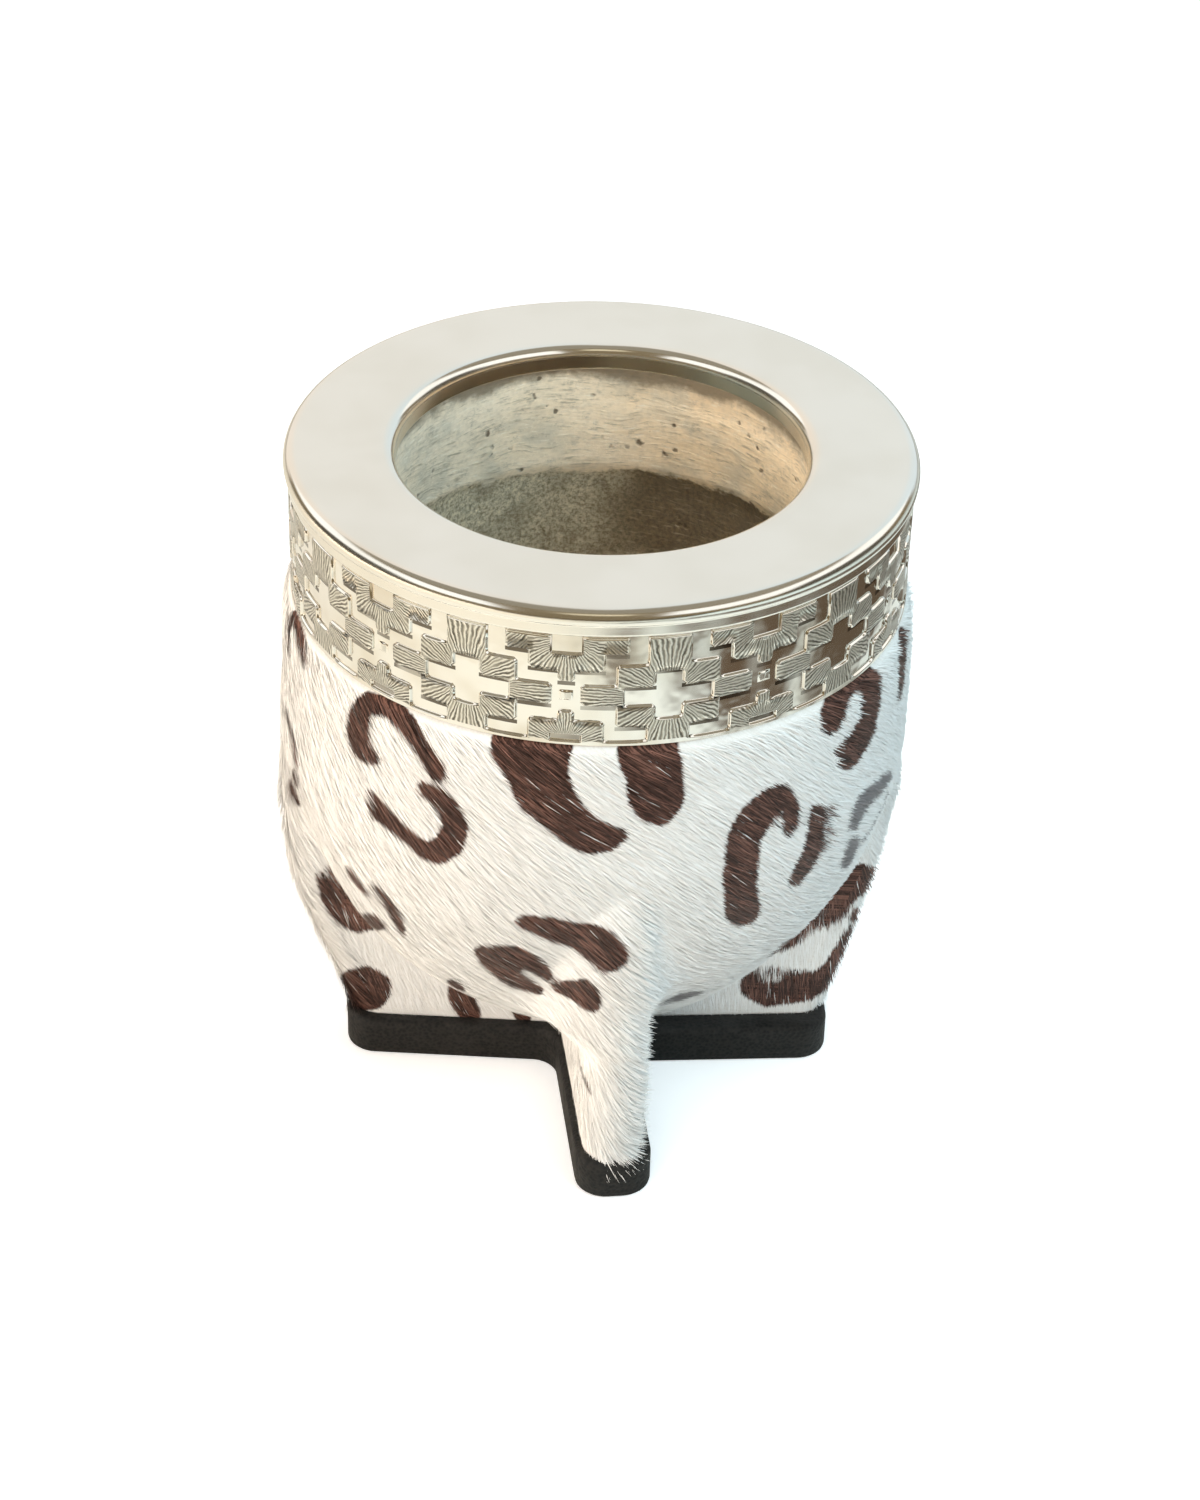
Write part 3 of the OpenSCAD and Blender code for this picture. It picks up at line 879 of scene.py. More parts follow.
def cut_corners(bm, kinds):
    """Takes the sharp outer corners off the blocks, as the chisel left them."""
    corners = []
    for v in bm.verts:
        blocks = [f for f in v.link_faces if f[kinds]]
        if len(v.link_faces) == 4 and len(blocks) == 1 and blocks[0][kinds] != STUD and v.co.y < SKIRT_SHADE_Z - 1:
            into = blocks[0].calc_center_median() - v.co
            corners.append((v.co.copy(), Vector((math.copysign(1, into.x), math.copysign(1, into.y), 0)).normalized()))
    reach = CORNER_CUT * math.sqrt(0.5)
    for place, way in corners:
        near = corner_faces(bm, kinds, place, way, reach)
        geom = dict.fromkeys(near + [e for f in near for e in f.edges] + [v for f in near for v in f.verts])
        slice_at(bm, place + way * reach, way, list(geom))
        for f in corner_faces(bm, kinds, place, way, reach):
            if (f.calc_center_median() - place).dot(way) < reach:
                f[kinds] = 0


def hatch_spot(kind, middle, x, z):
    """(across, along) the chiselled lines, in millimetres: they fan out from the middle of their diamond."""
    if kind == ARM:
        return math.atan2(z - DIAMOND_Z, abs(x)) * ARM_SPREAD, math.hypot(x, z - DIAMOND_Z)
    fan_z, spread = FANS.get(kind, FANS[DIAMOND])
    if kind in (UPPER_HALF, LOWER_HALF):
        x -= math.copysign(HALF_REPEAT, x)
        # The wings at the sides are cut as finely as the middle
        if HALF_REPEAT - abs(middle) > WING_X:
            fan_z, spread = WING_FAN
    return math.atan2(x, abs(z - fan_z) + 0.001) * spread, math.hypot(x, z - fan_z)


def corner_shade(face, within):
    """How much shade is painted along one side of a block: most below it, a little beside it, none above."""
    inner = next((e for e in face.edges if any(f in within for f in e.link_faces)), None)
    if inner is None:
        return 0.0
    out = face.calc_center_median() - (inner.verts[0].co + inner.verts[1].co) / 2
    return min(1.0, max(0.0, 0.25 - out.normalized().z))


class MATE_OT_band(bpy.types.Operator):
    """Chisel the stepped diamond band and bend it round the neck"""
    bl_idname = "mate.band"
    bl_label = "Chiselled band"

    def execute(self, context):
        s = context.scene.mate_gourd.metal
        ground_r = BORDER_R - GROUND_BACK
        bm = pattern_plate()
        plate = bm.verts[:] + bm.edges[:] + bm.faces[:]
        for i in range(1, REPEATS):
            copy = bmesh.ops.duplicate(bm, geom=plate)["geom"]
            bmesh.ops.translate(bm, vec=(i * 2 * HALF_REPEAT, 0, 0), verts=only(bmesh.types.BMVert, copy))
        for v in bm.verts:
            turn = math.radians(PATTERN_TURN + v.co.x / HALF_REPEAT * 180 / REPEATS)
            v.co = (ground_r * math.sin(turn), -ground_r * math.cos(turn), v.co.y)
        bmesh.ops.remove_doubles(bm, verts=bm.verts, dist=0.005)
        face_outwards(bm, bm.faces[:][0])
        kinds = bm.faces.layers.int["kind"]
        painted_shade, hatched = bm.faces.layers.float["painted_shade"], bm.faces.layers.float["hatched"]
        raised = [f for f in bm.faces if f[kinds] not in (0, STUD)]
        studs = [f for f in bm.faces if f[kinds] == STUD]
        for faces, steps in ((raised, BLOCK_STEPS), (studs, STUD_STEPS)):
            for i, (inwards, share) in enumerate(steps):
                sides = bmesh.ops.inset_region(bm, faces=faces, thickness=inwards, depth=share * s.relief / MM)["faces"]
                # Shade is painted on the lower side steps of each block
                if i < len(STEP_SHADE) and faces is raised:
                    within = set(faces)
                    for f in sides:
                        if f.calc_center_median().z > BORDER_ROW[1] - 0.3:
                            f[painted_shade] = STEP_SHADE[i] * corner_shade(f, within)
        # Shade is painted in the gap under the skirt
        for f in bm.faces:
            if f.calc_center_median().z > SKIRT_SHADE_Z:
                f[painted_shade] = 0.8
        for f in raised:
            f[hatched] = 0.0 if f[kinds] == BORDER else 1.0
        for f in studs:
            f[hatched] = STUD_MATT
        # The wall behind the chiselled face
        back = bmesh.ops.extrude_edge_only(bm, edges=[e for e in bm.edges if e.is_boundary])["geom"]
        for v in only(bmesh.types.BMVert, back):
            set_radius(v, BORDER_R - BAND_IN_BACK)
        bmesh.ops.bridge_loops(bm, edges=only(bmesh.types.BMEdge, back))
        bmesh.ops.recalc_face_normals(bm, faces=bm.faces)
        add_piece("band", bm, chiselled_metal(s), ["chiselled_band"])
        return {"FINISHED"}


def belly_radius(z, mid_r, low_z, top_r=HIDE_TOP_R):
    """Radius of the belly at heights z, an upper shoulder on a fuller bowl, in millimetres."""
    z = np.asarray(z, float)
    up = np.clip((z - BELLY_Z) / (BAND_Z - BELLY_Z), 0, 1)
    down = np.clip((BELLY_Z - z) / (BELLY_Z - low_z), 0, 1)
    shoulder = top_r + (mid_r - top_r) * np.sqrt(1 - up ** 2)
    bowl = mid_r * (1 - down ** BELLY_POWER) ** (1 / BELLY_POWER)
    return np.where(z > BELLY_Z, shoulder, bowl)


class MATE_OT_gourd(bpy.types.Operator):
    """Turn the thick-walled gourd with its scraped, uneven cavity"""
    bl_idname = "mate.gourd"
    bl_label = "Gourd"

    def execute(self, context):
        s = context.scene.mate_gourd.gourd
        neck_r, mouth_r, mouth_z, cavity_r, cavity_low_z = 40.6, COLLAR_R + 0.1, 98.0, 32.6, 25.9
        pen = Outline(mouth_r + 1.0, NECK_TOP_Z).line(neck_r, NECK_TOP_Z, 3).line(neck_r, TUCK_TOP_Z - 11.9, 3)
        for z in np.linspace(TUCK_TOP_Z - 12.2, GOURD_LOW_Z + 0.05, 30):
            pen.line(float(belly_radius(z, GOURD_R, GOURD_LOW_Z, neck_r + 0.1)), float(z))
        pen.line(0, GOURD_LOW_Z).line(0, cavity_low_z)
        for z in np.linspace(cavity_low_z + 0.3, BELLY_Z, 26):
            pen.line(float(belly_radius(z, cavity_r, cavity_low_z)), float(z))
        for z in np.linspace(BELLY_Z + 0.8, mouth_z, 40):
            share = (mouth_z - z) / (mouth_z - BELLY_Z)
            pen.line(mouth_r + (cavity_r - mouth_r) * math.sin(share * math.pi / 2) ** 1.2, float(z))
        pen.line(mouth_r, NECK_TOP_Z - 1.0, 8).close()
        bm = pen.turn(192)
        edge = COLLAR_Z - s.deep_wall_depth / MM
        for v in bm.verts:
            r = math.hypot(v.co.x, v.co.y)
            if mouth_r - 1 < r < cavity_r + 1 and cavity_low_z + 6 < v.co.z < COLLAR_Z:
                dent = 0.30 * noise.noise(v.co * 0.08) + 0.12 * noise.noise(v.co * 0.35)
                ledge = 0.55 / (1 + math.exp((v.co.z - edge - 1.5 * noise.noise(v.co * 0.06)) * 4))
                set_radius(v, r + 0.25 + dent * 0.5 + ledge)
        add_piece("gourd", bm, gourd_skin(s), ["gourd_shell"])
        return {"FINISHED"}


def studio_eye(stage):
    """The camera's place in metres and its turn."""
    eye = Vector(stage.eye)
    aim = (Vector(stage.target) - eye).to_track_quat("-Z", "Y")
    return eye, aim @ Quaternion((0, 0, 1), stage.roll)


def soft_least(a, b, softness):
    """The lesser of two distances, with the corner between them rounded."""
    share = np.clip(0.5 + 0.5 * (b - a) / softness, 0, 1)
    return b + (a - b) * share - softness * share * (1 - share)


def leg_tip(z, reach, bow):
    """How far a leg stands out at heights z, straight or bowed outwards, in millimetres."""
    rise = np.clip((z - SOLE_TOP_Z) / (LEG_TOP_Z - SOLE_TOP_Z), 0, 1)
    return reach + (LEG_TOP_R - reach) * (rise + bow * (np.sin(rise * math.pi / 2) - rise))


def cover_radius(turn, z, settings):
    """How far the cover stands out at each heading and height: belly and four legs, softly creased together."""
    reach = settings.leg_reach / MM
    # A leg widens as it runs up into the belly
    swell = 0.003 * np.maximum(z - 8, 0) + 0.0006 * np.maximum(z - 20, 0) ** 2
    belly = np.where(z < HIDE_LOW_Z, 0.0, belly_radius(z, BELLY_R, HIDE_LOW_Z))
    crease = settings.crease / MM * (1 + 0.3 * np.maximum(z - 22, 0))
    near, far = np.zeros_like(z), np.full_like(z, 60.0)
    for _ in range(36):
        r = (near + far) / 2
        out = r - belly
        for heading, (slimmer, shift), soft, bow, wide in zip(
                LEG_HEADINGS, LEG_LEANS, FOLD_SOFT, LEG_BOWS, LEG_SWELL):
            tip = leg_tip(z, reach, bow)
            along = r * np.cos(turn - math.radians(heading))
            side = r * np.sin(turn - math.radians(heading)) - shift
            half = settings.leg_width / MM / 2 - slimmer
            half = half * np.maximum(1 + swell * np.where(side < 0, *wide), 0.5)
            leg = np.hypot(along - np.clip(along, 0, np.maximum(tip - half, 0)), side) - half
            softness = np.minimum(crease * np.where(side < 0, *soft), 2 * (tip - belly))
            out = np.where(z < BELLY_Z, soft_least(out, leg, np.maximum(softness, 0.02)), out)
        near, far = np.where(out < 0, r, near), np.where(out < 0, far, r)
    return (near + far) / 2


def cast_strokes(strokes, tree, stage):
    """Lays strokes drawn on the frame onto the cover: for each a list of (spot, ray, half width), in millimetres."""
    eye, aim = studio_eye(stage)
    focal = stage.lens / SENSOR * max(FRAME_PX)
    laid = []
    for stroke in strokes:
        spots = []
        for (x0, y0, r0), (x1, y1, r1) in zip(stroke, stroke[1:]):
            steps = max(2, round(math.hypot(x1 - x0, y1 - y0) / 3))
            for i in range(steps + 1):
                share = i / steps
                across, down = x0 + (x1 - x0) * share - FRAME_PX[0] / 2, y0 + (y1 - y0) * share - FRAME_PX[1] / 2
                ray = (aim @ Vector((across / focal, -down / focal, -1))).normalized()
                hit, _, _, distance = tree.ray_cast(eye / MM, ray)
                if hit:
                    spots.append((hit, ray, STROKE_FULL * (r0 + (r1 - r0) * share) * distance / focal))
        laid.append(spots)
    return laid


def search_tree(places):
    """A tree that finds the places near a spot."""
    near = KDTree(len(places))
    for i, place in enumerate(places):
        near.insert(place, i)
    near.balance()
    return near


def both_sides(laid):
    """The strokes, and the same ones turned half round on to the back where they stay clear of the first ones."""
    front = search_tree([spot for spots in laid for spot, _, _ in spots])
    half_turn = Matrix.Diagonal((-1, -1, 1))
    for spots in laid:
        yield from spots
        turned = [(half_turn @ spot, half_turn @ ray, half) for spot, ray, half in spots]
        if all(front.find(spot)[2] > half + BACK_CLEAR for spot, _, half in turned):
            yield from turned


def print_distance(places, near, laid):
    """Distance from each place to the edge of the nearest stroke, below 0 inside, in millimetres."""
    least = np.full(len(places), UNPRINTED)
    for spot, ray, half in both_sides(laid):
        for place, i, gap in near.find_range(spot, half / SLANT_STRETCH + 3):
            # A stroke on a slanting part of the cover runs on along the ray it was drawn on
            deep = (place - spot).dot(ray) ** 2
            seen = math.sqrt(max(gap * gap - deep, 0) + deep * SLANT_STRETCH ** 2)
            least[i] = min(least[i], seen - half)
    return least


def hair_flow(places, normals, settings):
    """The way the hair lies at each place: aslant round the belly, fanning over each leg and down to the sole."""
    x, y, z = places.T
    r = np.maximum(np.hypot(x, y), 0.001)
    level = np.stack((-y / r, x / r, np.zeros_like(x)), 1)
    slant = np.full(len(places), settings.hair_slant)
    slant += 0.22 * np.array([noise.noise(Vector(p) * 0.045) for p in places])
    half = settings.leg_width / MM / 2
    for heading in LEG_HEADINGS:
        c, s = math.cos(math.radians(heading)), math.sin(math.radians(heading))
        side = (-s * x + c * y) / half
        here = np.clip((40 - z) / 20, 0, 1) * np.exp(-(side / 1.6) ** 2) * (c * x + s * y > 0)
        fan = np.radians(48 - 38 * np.clip(side, -1, 1))
        slant = slant + (fan - slant) * here
    flow = level * np.cos(slant)[:, None] + np.array((0, 0, -1.0)) * np.sin(slant)[:, None]
    flow -= normals * (flow * normals).sum(1)[:, None]
    flow /= np.maximum(np.linalg.norm(flow, axis=1), 0.001)[:, None]
    # The hair flares out over the sole's edge at a leg's tip
    flare = np.clip((SOLE_TOP_Z + 4.5 - z) / 4.5, 0, 1) * tip_share(places, normals)
    return flow + normals * 0.4 * flare[:, None]


def tip_share(places, normals):
    """How much each place faces out along a leg: 1 at the tips, 0 on the flanks."""
    x, y, _ = places.T
    out = (normals[:, 0] * x + normals[:, 1] * y) / np.maximum(np.hypot(x, y), 0.001)
    return np.clip((out - 0.55) / 0.35, 0, 1)


def hair_growth(places, normals):
    """Length of the hair beside the usual one: cropped where a flank meets the sole."""
    low = np.clip((places[:, 2] - SOLE_TOP_Z) / 4.0, 0.12, 1)
    return np.maximum(low, 1.2 * tip_share(places, normals))


def uneven_sides(turn, z):
    """The cover's own lean: fuller low down on the left, slimmer higher up and on the right, in millimetres."""
    left, right = np.clip(-np.cos(turn), 0, 1) ** 2, np.clip(np.cos(turn), 0, 1) ** 2
    fuller = 2.3 * np.exp(-((z - 31) / 15) ** 2) - 0.5 * np.exp(-((z - 74) / 7) ** 2)
    return left * fuller - right * 0.6 * np.exp(-((z - 66) / 15) ** 2)


def lay_pelt_map(bm, z):
    """Unrolls the cover for the baked colours: its heading across, its rows of faces upwards."""
    heights = np.unique(np.round(z, 3))
    rows = np.searchsorted(heights, np.round(z, 3)) / (len(heights) - 1)
    bm.verts.index_update()
    pelt = bm.loops.layers.uv.new("OFBake")
    for f in bm.faces:
        middle = math.atan2(f.calc_center_median().y, f.calc_center_median().x)
        for loop in f.loops:
            co = loop.vert.co
            off = (math.atan2(co.y, co.x) - middle + math.pi) % math.tau - math.pi
            loop[pelt].uv = (0.005 + 0.99 * ((middle + off) / math.tau + 0.5), 0.005 + 0.99 * rows[loop.vert.index])


class MATE_OT_hide(bpy.types.Operator):
    """Pull the hide over the belly, gather it into four legs and print its spots"""
    bl_idname = "mate.hide"
    bl_label = "Hide cover"

    def execute(self, context):
        settings = context.scene.mate_gourd
        s = settings.hide
        pen = Outline(1, BAND_Z + 5).line(1, BAND_Z + 0.05, 3).line(1, BAND_Z - 0.08).line(1, 26, 84)
        pen.line(1, 10, 38).line(1, SOLE_TOP_Z + 0.05, 8).line(0.5, SOLE_TOP_Z + 0.02)
        bm = pen.turn(480)
        places = np.array([v.co for v in bm.verts])
        turn, z = np.arctan2(places[:, 1], places[:, 0]), places[:, 2]
        tucked = np.hypot(places[:, 0], places[:, 1]) < 0.9
        radius = np.where(z > BAND_Z, TUCK_R, cover_radius(turn, np.minimum(z, BAND_Z - 0.05), s)) - 2.0 * tucked
        uneven = np.array([noise.noise(Vector((math.cos(t) * 2.2, math.sin(t) * 2.2, h * 0.05)))
                           + 0.4 * noise.noise(Vector((math.cos(t) * 6, math.sin(t) * 6, h * 0.14)))
                           for t, h in zip(turn, z)])
        radius += 0.22 * uneven * np.clip((BAND_Z - 1 - z) / 6, 0, 1) + uneven_sides(turn, z)
        for v, t, r in zip(bm.verts, turn, radius):
            v.co.x, v.co.y = r * math.cos(t), r * math.sin(t)
        face_outwards(bm, min(bm.faces, key=lambda f: abs(f.calc_center_median().z - BELLY_Z)))
        bm.normal_update()
        places = np.array([v.co for v in bm.verts])
        normals = np.array([v.normal for v in bm.verts])
        tree, near = BVHTree.FromBMesh(bm), search_tree(places)
        values = {"print": print_distance(places, near, cast_strokes(BROWN_STROKES, tree, settings.stage)),
                  "grey_print": print_distance(places, near, cast_strokes(GREY_STROKES, tree, settings.stage)),
                  "growth": hair_growth(places, normals)}
        for name, value in values.items():
            layer = bm.verts.layers.float.new(name)
            for v, x in zip(bm.verts, value):
                v[layer] = x
        layer = bm.verts.layers.float_vector.new("flow")
        for v, way in zip(bm.verts, hair_flow(places, normals, s)):
            v[layer] = way
        lay_pelt_map(bm, z)
        add_piece("hide", bm, haired_skin(s), [
            "hide_belly", "front_leg_fold", "right_leg_fold", "back_leg_fold", "left_leg_fold"])
        return {"FINISHED"}


def hair_blade(settings):
    """One flat hair, tapering and slightly bowed, one unit long, as the pattern for all of them."""
    bm = bmesh.new()
    bmesh.ops.create_grid(bm, x_segments=1, y_segments=2, size=0.5)
    blade = bm.loops.layers.uv.new("blade")
    wide = settings.hair_width / settings.hair_length
    for f in bm.faces:
        for loop in f.loops:
            loop[blade].uv = (loop.vert.co.x + 0.5, loop.vert.co.y + 0.5)
    for v in bm.verts:
        along = v.co.y + 0.5
        v.co = (v.co.x * wide * (1 - 0.88 * along ** 2), along, 0.035 * math.sin(along * math.pi * 0.8) - 0.01)
    return bpy.data.objects.new("hair_blade", to_mesh("hair_blade", bm))


def hair_tree(blade, settings, per_area):
    """Geometry nodes that plant hairs all over a patch of hide, along its flow."""
    tree = bpy.data.node_groups.new("plant_hair", "GeometryNodeTree")
    for way in ("INPUT", "OUTPUT"):
        tree.interface.new_socket("Geometry", in_out=way, socket_type="NodeSocketGeometry")
    w = Wiring(tree)

    def named(name, kind="FLOAT"):
        return w.put("GeometryNodeInputNamedAttribute", {"Name": name}, data_type=kind)

    def store(geometry, name, value, kind="FLOAT"):
        return w.put("GeometryNodeStoreNamedAttribute", {"Geometry": geometry, "Name": name, "Value": value},
                     data_type=kind, domain="POINT")

    def chance(low, high, seed):
        return w.put("FunctionNodeRandomValue", {2: low, 3: high, "Seed": seed}, 1, data_type="FLOAT")

    patch = w.put("NodeGroupInput")
    roots = w.several("GeometryNodeDistributePointsOnFaces", {"Mesh": patch, "Density": per_area, "Seed": 7},
                      distribute_method="RANDOM")
    lie = w.put("FunctionNodeAxesToRotation", {"Primary Axis": named("flow", "FLOAT_VECTOR"),
                                               "Secondary Axis": roots["Normal"]},
                primary_axis="Y", secondary_axis="Z")
    stray = w.put("FunctionNodeRandomValue", {0: (0.0, -0.3, -0.15), 1: (0.055, 0.3, 0.15), "Seed": 3},
                  data_type="FLOAT_VECTOR")
    lie = w.put("FunctionNodeRotateRotation", {0: lie, 1: w.put("FunctionNodeEulerToRotation", {0: stray})},
                rotation_space="LOCAL")
    size = chance(settings.hair_length * 0.65, settings.hair_length * 1.3, 5) * named("growth")
    where = w.put("GeometryNodeInputPosition")
    marked = store(roots["Points"], "shade", chance(0.0, 1.0, 11))
    marked = store(marked, "lock", lock_streaks(w, where, settings.hair_slant))
    marked = store(marked, "strand", w.put("GeometryNodeInputIndex"), "INT")
    hair = w.put("GeometryNodeObjectInfo", {"Object": blade}, "Geometry")
    planted = w.put("GeometryNodeInstanceOnPoints", {"Points": marked, "Instance": hair, "Rotation": lie,
                                                     "Scale": size})
    real = w.put("GeometryNodeRealizeInstances", {0: planted})
    for name in ("print", "grey_print"):
        found = w.put("GeometryNodeSampleNearestSurface", {"Mesh": patch, "Value": named(name),
                                                           "Sample Position": where}, data_type="FLOAT")
        real = store(real, name, found)
    w.node("NodeGroupOutput", {0: real})
    return tree


def lay_hair_map(mesh):
    """Gives each hair its own cell of a map, like coloured hairs side by side, for the baked colours."""
    count = len(mesh.vertices)
    strand, tint = np.zeros(count, np.int32), np.zeros(count, np.float32)
    mesh.attributes["strand"].data.foreach_get("value", strand)
    mesh.attributes["print"].data.foreach_get("value", tint)
    corner = np.zeros(len(mesh.loops), np.int32)
    mesh.loops.foreach_get("vertex_index", corner)
    blade = np.zeros(len(mesh.loops) * 2, np.float32)
    mesh.attributes["blade"].data.foreach_get("vector", blade)
    hairs = strand.max() + 1
    least = np.full(hairs, 99.0)
    np.minimum.at(least, strand, tint)
    rank = np.zeros(hairs, int)
    rank[np.argsort(least, kind="stable")] = np.arange(hairs)
    side = math.ceil(math.sqrt(hairs))
    cell = rank[strand[corner]]
    spot = np.stack((cell % side + 0.25 + 0.5 * blade[0::2], cell // side + 0.12 + 0.76 * blade[1::2]), 1) / side
    layer = mesh.uv_layers.new(name="OFBake")
    layer.data.foreach_set("uv", spot.astype(np.float32).ravel())
    for name in ("strand", "flow", "growth"):
        if name in mesh.attributes:
            mesh.attributes.remove(mesh.attributes[name])


class MATE_OT_hair(bpy.types.Operator):
    """Plant the short hair on the hide, one quarter of the body at a time"""
    bl_idname = "mate.hair"
    bl_label = "Short hair"

    def execute(self, context):
        s = context.scene.mate_gourd.hide
        hide = bpy.data.objects["hide"]
        area = sum(p.area for p in hide.data.polygons)
        blade = hair_blade(s)
        tree = hair_tree(blade, s, s.hair_count / area)
        material = short_hair(s)
        for name, heading in zip(("front", "right", "back", "left"), (-90, 0, 90, 180)):
            bm = bmesh.new()
            bm.from_mesh(hide.data)
            for side in (-45, 45):
                edge = math.radians(heading + side)
                away = Vector((-math.sin(edge), math.cos(edge), 0)) * (1 if side > 0 else -1)
                slice_at(bm, (0, 0, 0), away, dist=1e-7, clear=True)
            slice_at(bm, (0, 0, (BAND_Z - 0.4) * MM), (0, 0, 1), dist=1e-7, clear=True)
            carrier = bpy.data.objects.new("hair_patch", to_mesh("hair_patch", bm))
            context.scene.collection.objects.link(carrier)
            carrier.modifiers.new("plant_hair", "NODES").node_group = tree
            graph = context.evaluated_depsgraph_get()
            mesh = bpy.data.meshes.new_from_object(carrier.evaluated_get(graph), preserve_all_data_layers=True,
                                                   depsgraph=graph)
            bpy.data.objects.remove(carrier)
            if not len(mesh.polygons):
                raise RuntimeError(f"no hair grew on the {name} of the hide")
            lay_hair_map(mesh)
            mesh.name = f"hair_{name}"
            add_mesh(f"hair_{name}", mesh, material, [])
        bpy.data.objects.remove(blade)
        return {"FINISHED"}


class MATE_OT_sole(bpy.types.Operator):
    """Cut the cross-shaped sole with round arm ends and worn edges"""
    bl_idname = "mate.sole"
    bl_label = "Sole"

    def execute(self, context):
        s = context.scene.mate_gourd.sole
        half = s.half_width / MM
        bm = bmesh.new()
        corners, tips, inner = [], [], []
        for heading, following in zip(LEG_HEADINGS, LEG_HEADINGS[1:] + LEG_HEADINGS[:1]):
            a = math.radians(heading)
            for side in (-half, half):
                tips.append(bm.verts.new((SOLE_R * math.cos(a) - side * math.sin(a),
                                          SOLE_R * math.sin(a) + side * math.cos(a), 0)))
                corners.append(tips[-1])
            gap = math.radians((following - heading) % 360) / 2
            inner.append(bm.verts.new((half / math.sin(gap) * math.cos(a + gap),
                                       half / math.sin(gap) * math.sin(a + gap), 0)))
            corners.append(inner[-1])
        bm.faces.new(corners).normal_update()
        for group, radius in ((tips, s.tip_round / MM), (inner, s.inner_round / MM)):
            bevel(bm, group, radius, 10, "VERTICES")
        top = bmesh.ops.extrude_face_region(bm, geom=bm.faces[:])["geom"]
        bmesh.ops.translate(bm, vec=(0, 0, SOLE_TOP_Z), verts=only(bmesh.types.BMVert, top))
        bmesh.ops.recalc_face_normals(bm, faces=bm.faces)
        bevel(bm, [e for e in bm.edges if abs(e.verts[0].co.z - e.verts[1].co.z) < 0.01], s.edge / MM, 3)
        bmesh.ops.triangulate(bm, faces=[f for f in bm.faces if len(f.verts) > 4])
        add_piece("sole_cross", bm, sole_leather(s), ["sole"])
        return {"FINISHED"}


class MATE_OT_fillers(bpy.types.Operator):
    """Finish the hidden pieces: bedding, leg cores and centre pad"""
    bl_idname = "mate.fillers"
    bl_label = "Hidden fillers"

    def execute(self, context):
        looks = {
            ("bedding_ring",): plain_filler("bedding_fibre", (0.09, 0.08, 0.07), (0.05, 0.045, 0.04), 600.0),
            # The cores and pad are scrap leather, coloured dark so that any bit that shows reads as painted shade in
            # the fold
            ("front_leg_core", "right_leg_core", "back_leg_core", "left_leg_core", "centre_pad"):
                plain_filler("scrap_leather_dark_as_shade", (0.070, 0.045, 0.030), (0.045, 0.030, 0.020), 900.0),
        }
        for nodes, material in looks.items():
            for node in nodes:
                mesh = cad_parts[node].data
                mesh.materials.clear()
                mesh.materials.append(material)
        return {"FINISHED"}


def soft_box(name, place, size, power, colour, aim=0.06, spread=180):
    """A studio lamp that faces the gourd's axis. The metal mirrors the room, not the lamps."""
    lamp = bpy.data.lights.new(name, "AREA")
    lamp.shape = "RECTANGLE"
    lamp.size, lamp.size_y = size
    lamp.energy = power
    lamp.color = colour
    lamp.spread = math.radians(spread)
    stand = bpy.data.objects.new(name, lamp)
    stand.location = place
    stand.visible_glossy = False
    stand.rotation_euler = (Vector((0, 0, aim)) - Vector(place)).to_track_quat("-Z", "Y").to_euler()
    bpy.context.scene.collection.objects.link(stand)


def pale_floor(s):
    """The floor. The metal mirrors a warmer table than the bare white, and less light comes back up from it."""
    w = Paint("pale_floor")
    ray = w.several("ShaderNodeLightPath")
    place = w.place()
    x, y, _ = w.split(place)
    away, right = w.radius(x, y), w.step(x, -0.10, 0.12)
    bounce = w.mix(w.step(x, -0.08, 0.06), (0.74, 0.66, 0.57), (0.42, 0.44, 0.45))
    pale = w.coat(s.floor, (w.noise(place, 2.0), [0.985 * c for c in s.floor]), (ray["Is Diffuse Ray"], bounce))
    cream = w.mix(w.step(away, 0.190, 0.200), w.mix(right, (1.0, 0.94, 0.84), (0.92, 0.92, 0.88)),
                  w.mix(right, (0.93, 0.85, 0.73), (0.84, 0.86, 0.82)))
    ahead = w.step(y + w.math("ABSOLUTE", x), -0.12, -0.24) * w.step(y, -0.37, -0.44)
    ring = w.step(away + x * 0.2, 0.190, 0.205) * w.step(away, 0.34, 0.28)
    patch = w.step(w.noise(place, 20.0, 1.0) + x * 1.2, 0.42, 0.72)
    table = w.coat(cream, (ahead, (0.12, 0.095, 0.058)), (patch * ring, (0.13, 0.085, 0.055)))
    return w.finish({
        "Base Color": w.mix(ray["Is Glossy Ray"], pale, table),
        "Emission Color": w.mix(ray["Is Camera Ray"], (0, 0, 0), (0.42, 0.42, 0.42)),
        "Emission Strength": 1.0, "Roughness": 0.9, "Specular IOR Level": 0.1})


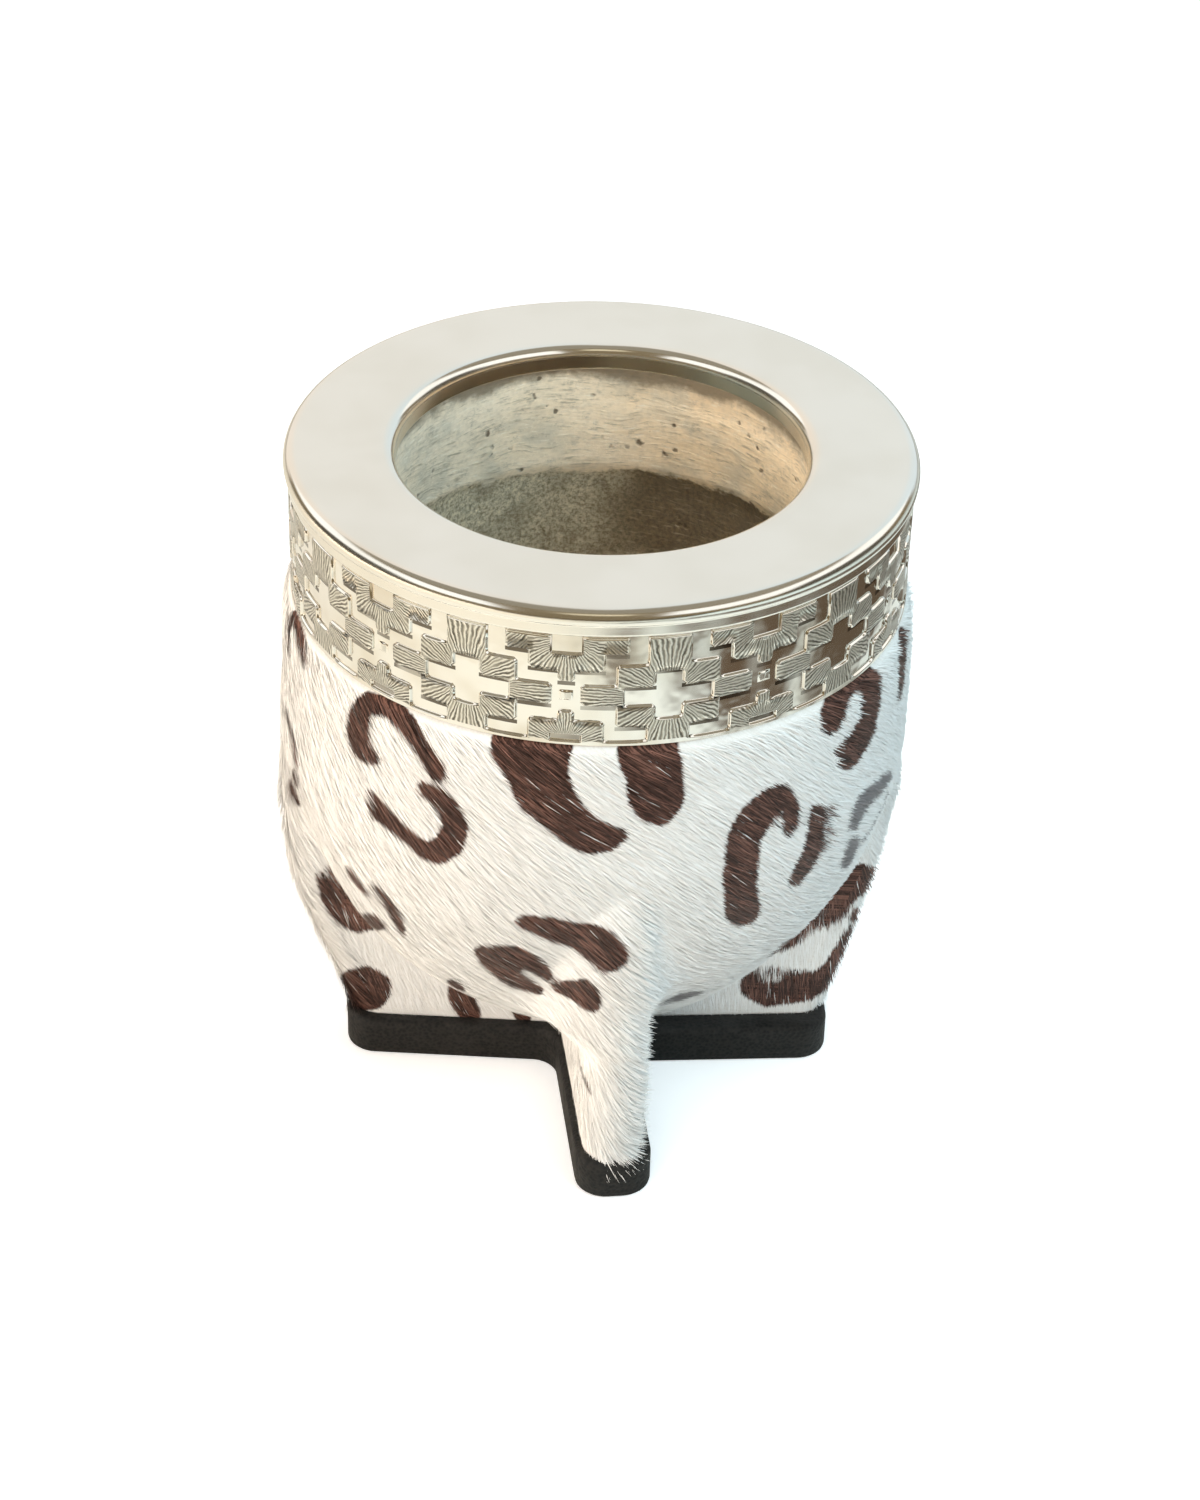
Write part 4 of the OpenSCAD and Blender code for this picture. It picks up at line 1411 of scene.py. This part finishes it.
def studio_room(scene, s):
    """The room around: a bright backdrop behind, a dim front, a dark ceiling and two soft boxes hung overhead."""
    world = scene.world or bpy.data.worlds.new("studio")
    scene.world = world
    world.use_nodes = True
    w = Wiring(world.node_tree)
    x, y, z = w.split(w.put("ShaderNodeTexCoord", out="Generated"))
    wide = w.math("ABSOLUTE", x)
    side = w.mix(w.step(x, -0.8, 0.8), s.warm, s.cool)
    boxes = w.step(z * 0.97 + y * -0.24, 0.84, 0.90) * w.step(wide, 0.06, 0.16)
    room = w.coat((0.37, 0.36, 0.34), (w.step(y, -0.3, 0.45), side), (w.step(z, 0.60, 0.74), (0.15, 0.14, 0.12)),
                  (boxes, (0.5, 0.5, 0.5)))
    # The metal mirrors the walls up past the zenith, then a brown room with a warm strip and two windows
    below = w.step(z, 0.72, 0.66)
    strip = w.step(z, 0.50, 0.56) * below * w.step(wide, 0.22, 0.12)
    windows = w.math("MAXIMUM", w.step(x, 0.33, 0.40), w.step(x, -0.46, -0.54))
    front = w.coat((0.24, 0.19, 0.115), (w.step(z, 0.74, 0.80), (0.33, 0.30, 0.235)), (strip, (0.95, 0.85, 0.62)),
                   (w.step(z, 0.22, 0.30) * below * windows, (1.25, 1.25, 1.22)))
    low = w.step(wide, 0.86, 0.93) * w.step(z, 0.45, 0.36)
    mirrored = w.coat(side, (w.step(y - wide * 1.2, -0.02, -0.22), front), (low, (0.10, 0.09, 0.07)))
    glossy = w.several("ShaderNodeLightPath")["Is Glossy Ray"]
    w.fill(w.tree.nodes["Background"], {"Color": w.mix(glossy, room, mirrored), "Strength": 1.05})


class MATE_OT_stage(bpy.types.Operator):
    """Lay the floor, hang the lamps and place the camera"""
    bl_idname = "mate.stage"
    bl_label = "Stage"

    def execute(self, context):
        scene, s = context.scene, context.scene.mate_gourd.stage
        scene.view_settings.view_transform = "Standard"
        bm = bmesh.new()
        bmesh.ops.create_grid(bm, x_segments=8, y_segments=8, size=4.0)
        floor = bpy.data.objects.new("floor", to_mesh("floor", bm))
        floor.data.materials.append(pale_floor(s))
        scene.collection.objects.link(floor)
        studio_room(scene, s)
        soft_box("left_lamp", (-0.95, -0.12, 0.14), (0.7, 0.5), 11.6, (1.0, 0.86, 0.72))
        soft_box("right_lamp", (0.68, -0.42, 0.72), (0.5, 0.5), 6.4, (0.62, 0.89, 1.0))
        soft_box("front_lamp", (-0.32, -0.92, 0.36), (0.6, 0.5), 6.4, (0.97, 0.90, 0.82))
        soft_box("top_lamp", (0.05, 0.0, 1.0), (0.6, 0.6), 0.9, (0.90, 0.97, 1.0))
        soft_box("mouth_lamp", (-0.025, -0.01, 0.32), (0.03, 0.03), 0.050, (1.0, 0.93, 0.83), 0.09, 40)
        lens = bpy.data.cameras.new("camera")
        lens.lens, lens.sensor_width = s.lens, SENSOR
        camera = bpy.data.objects.new("camera", lens)
        camera.location, turn = studio_eye(s)
        camera.rotation_euler = turn.to_euler()
        scene.collection.objects.link(camera)
        scene.camera = camera
        return {"FINISHED"}


class MATE_PT_panel(bpy.types.Panel):
    """Every step of the mate gourd, with its sizes and colours"""
    bl_idname = "MATE_PT_panel"
    bl_label = "Mate gourd"
    bl_space_type = "VIEW_3D"
    bl_region_type = "UI"
    bl_category = "Mate gourd"

    def draw(self, context):
        settings = context.scene.mate_gourd
        for title, group, operators in (
                ("Stage", settings.stage, ("mate.stage",)),
                ("Metal", settings.metal, ("mate.rim", "mate.collar", "mate.band")),
                ("Gourd", settings.gourd, ("mate.gourd",)),
                ("Hide", settings.hide, ("mate.hide", "mate.hair")),
                ("Sole", settings.sole, ("mate.sole", "mate.fillers"))):
            box = self.layout.box()
            box.label(text=title)
            for name in group.__annotations__:
                box.prop(group, name)
            for operator in operators:
                box.operator(operator)


CLASSES = (
    MetalSettings, HideSettings, GourdSettings, SoleSettings, StageSettings, MateSettings,
    MATE_OT_stage, MATE_OT_rim, MATE_OT_collar, MATE_OT_band, MATE_OT_gourd, MATE_OT_hide, MATE_OT_hair,
    MATE_OT_sole, MATE_OT_fillers, MATE_PT_panel,
)


def register():
    for each in CLASSES:
        bpy.utils.register_class(each)
    bpy.types.Scene.mate_gourd = bpy.props.PointerProperty(type=MateSettings)


def unregister():
    del bpy.types.Scene.mate_gourd
    for each in reversed(CLASSES):
        bpy.utils.unregister_class(each)


def main():
    register()
    bpy.ops.mate.stage()
    bpy.ops.mate.rim()
    bpy.ops.mate.collar()
    bpy.ops.mate.band()
    bpy.ops.mate.gourd()
    bpy.ops.mate.hide()
    bpy.ops.mate.hair()
    bpy.ops.mate.sole()
    bpy.ops.mate.fillers()


if __name__ == "__main__":
    main()
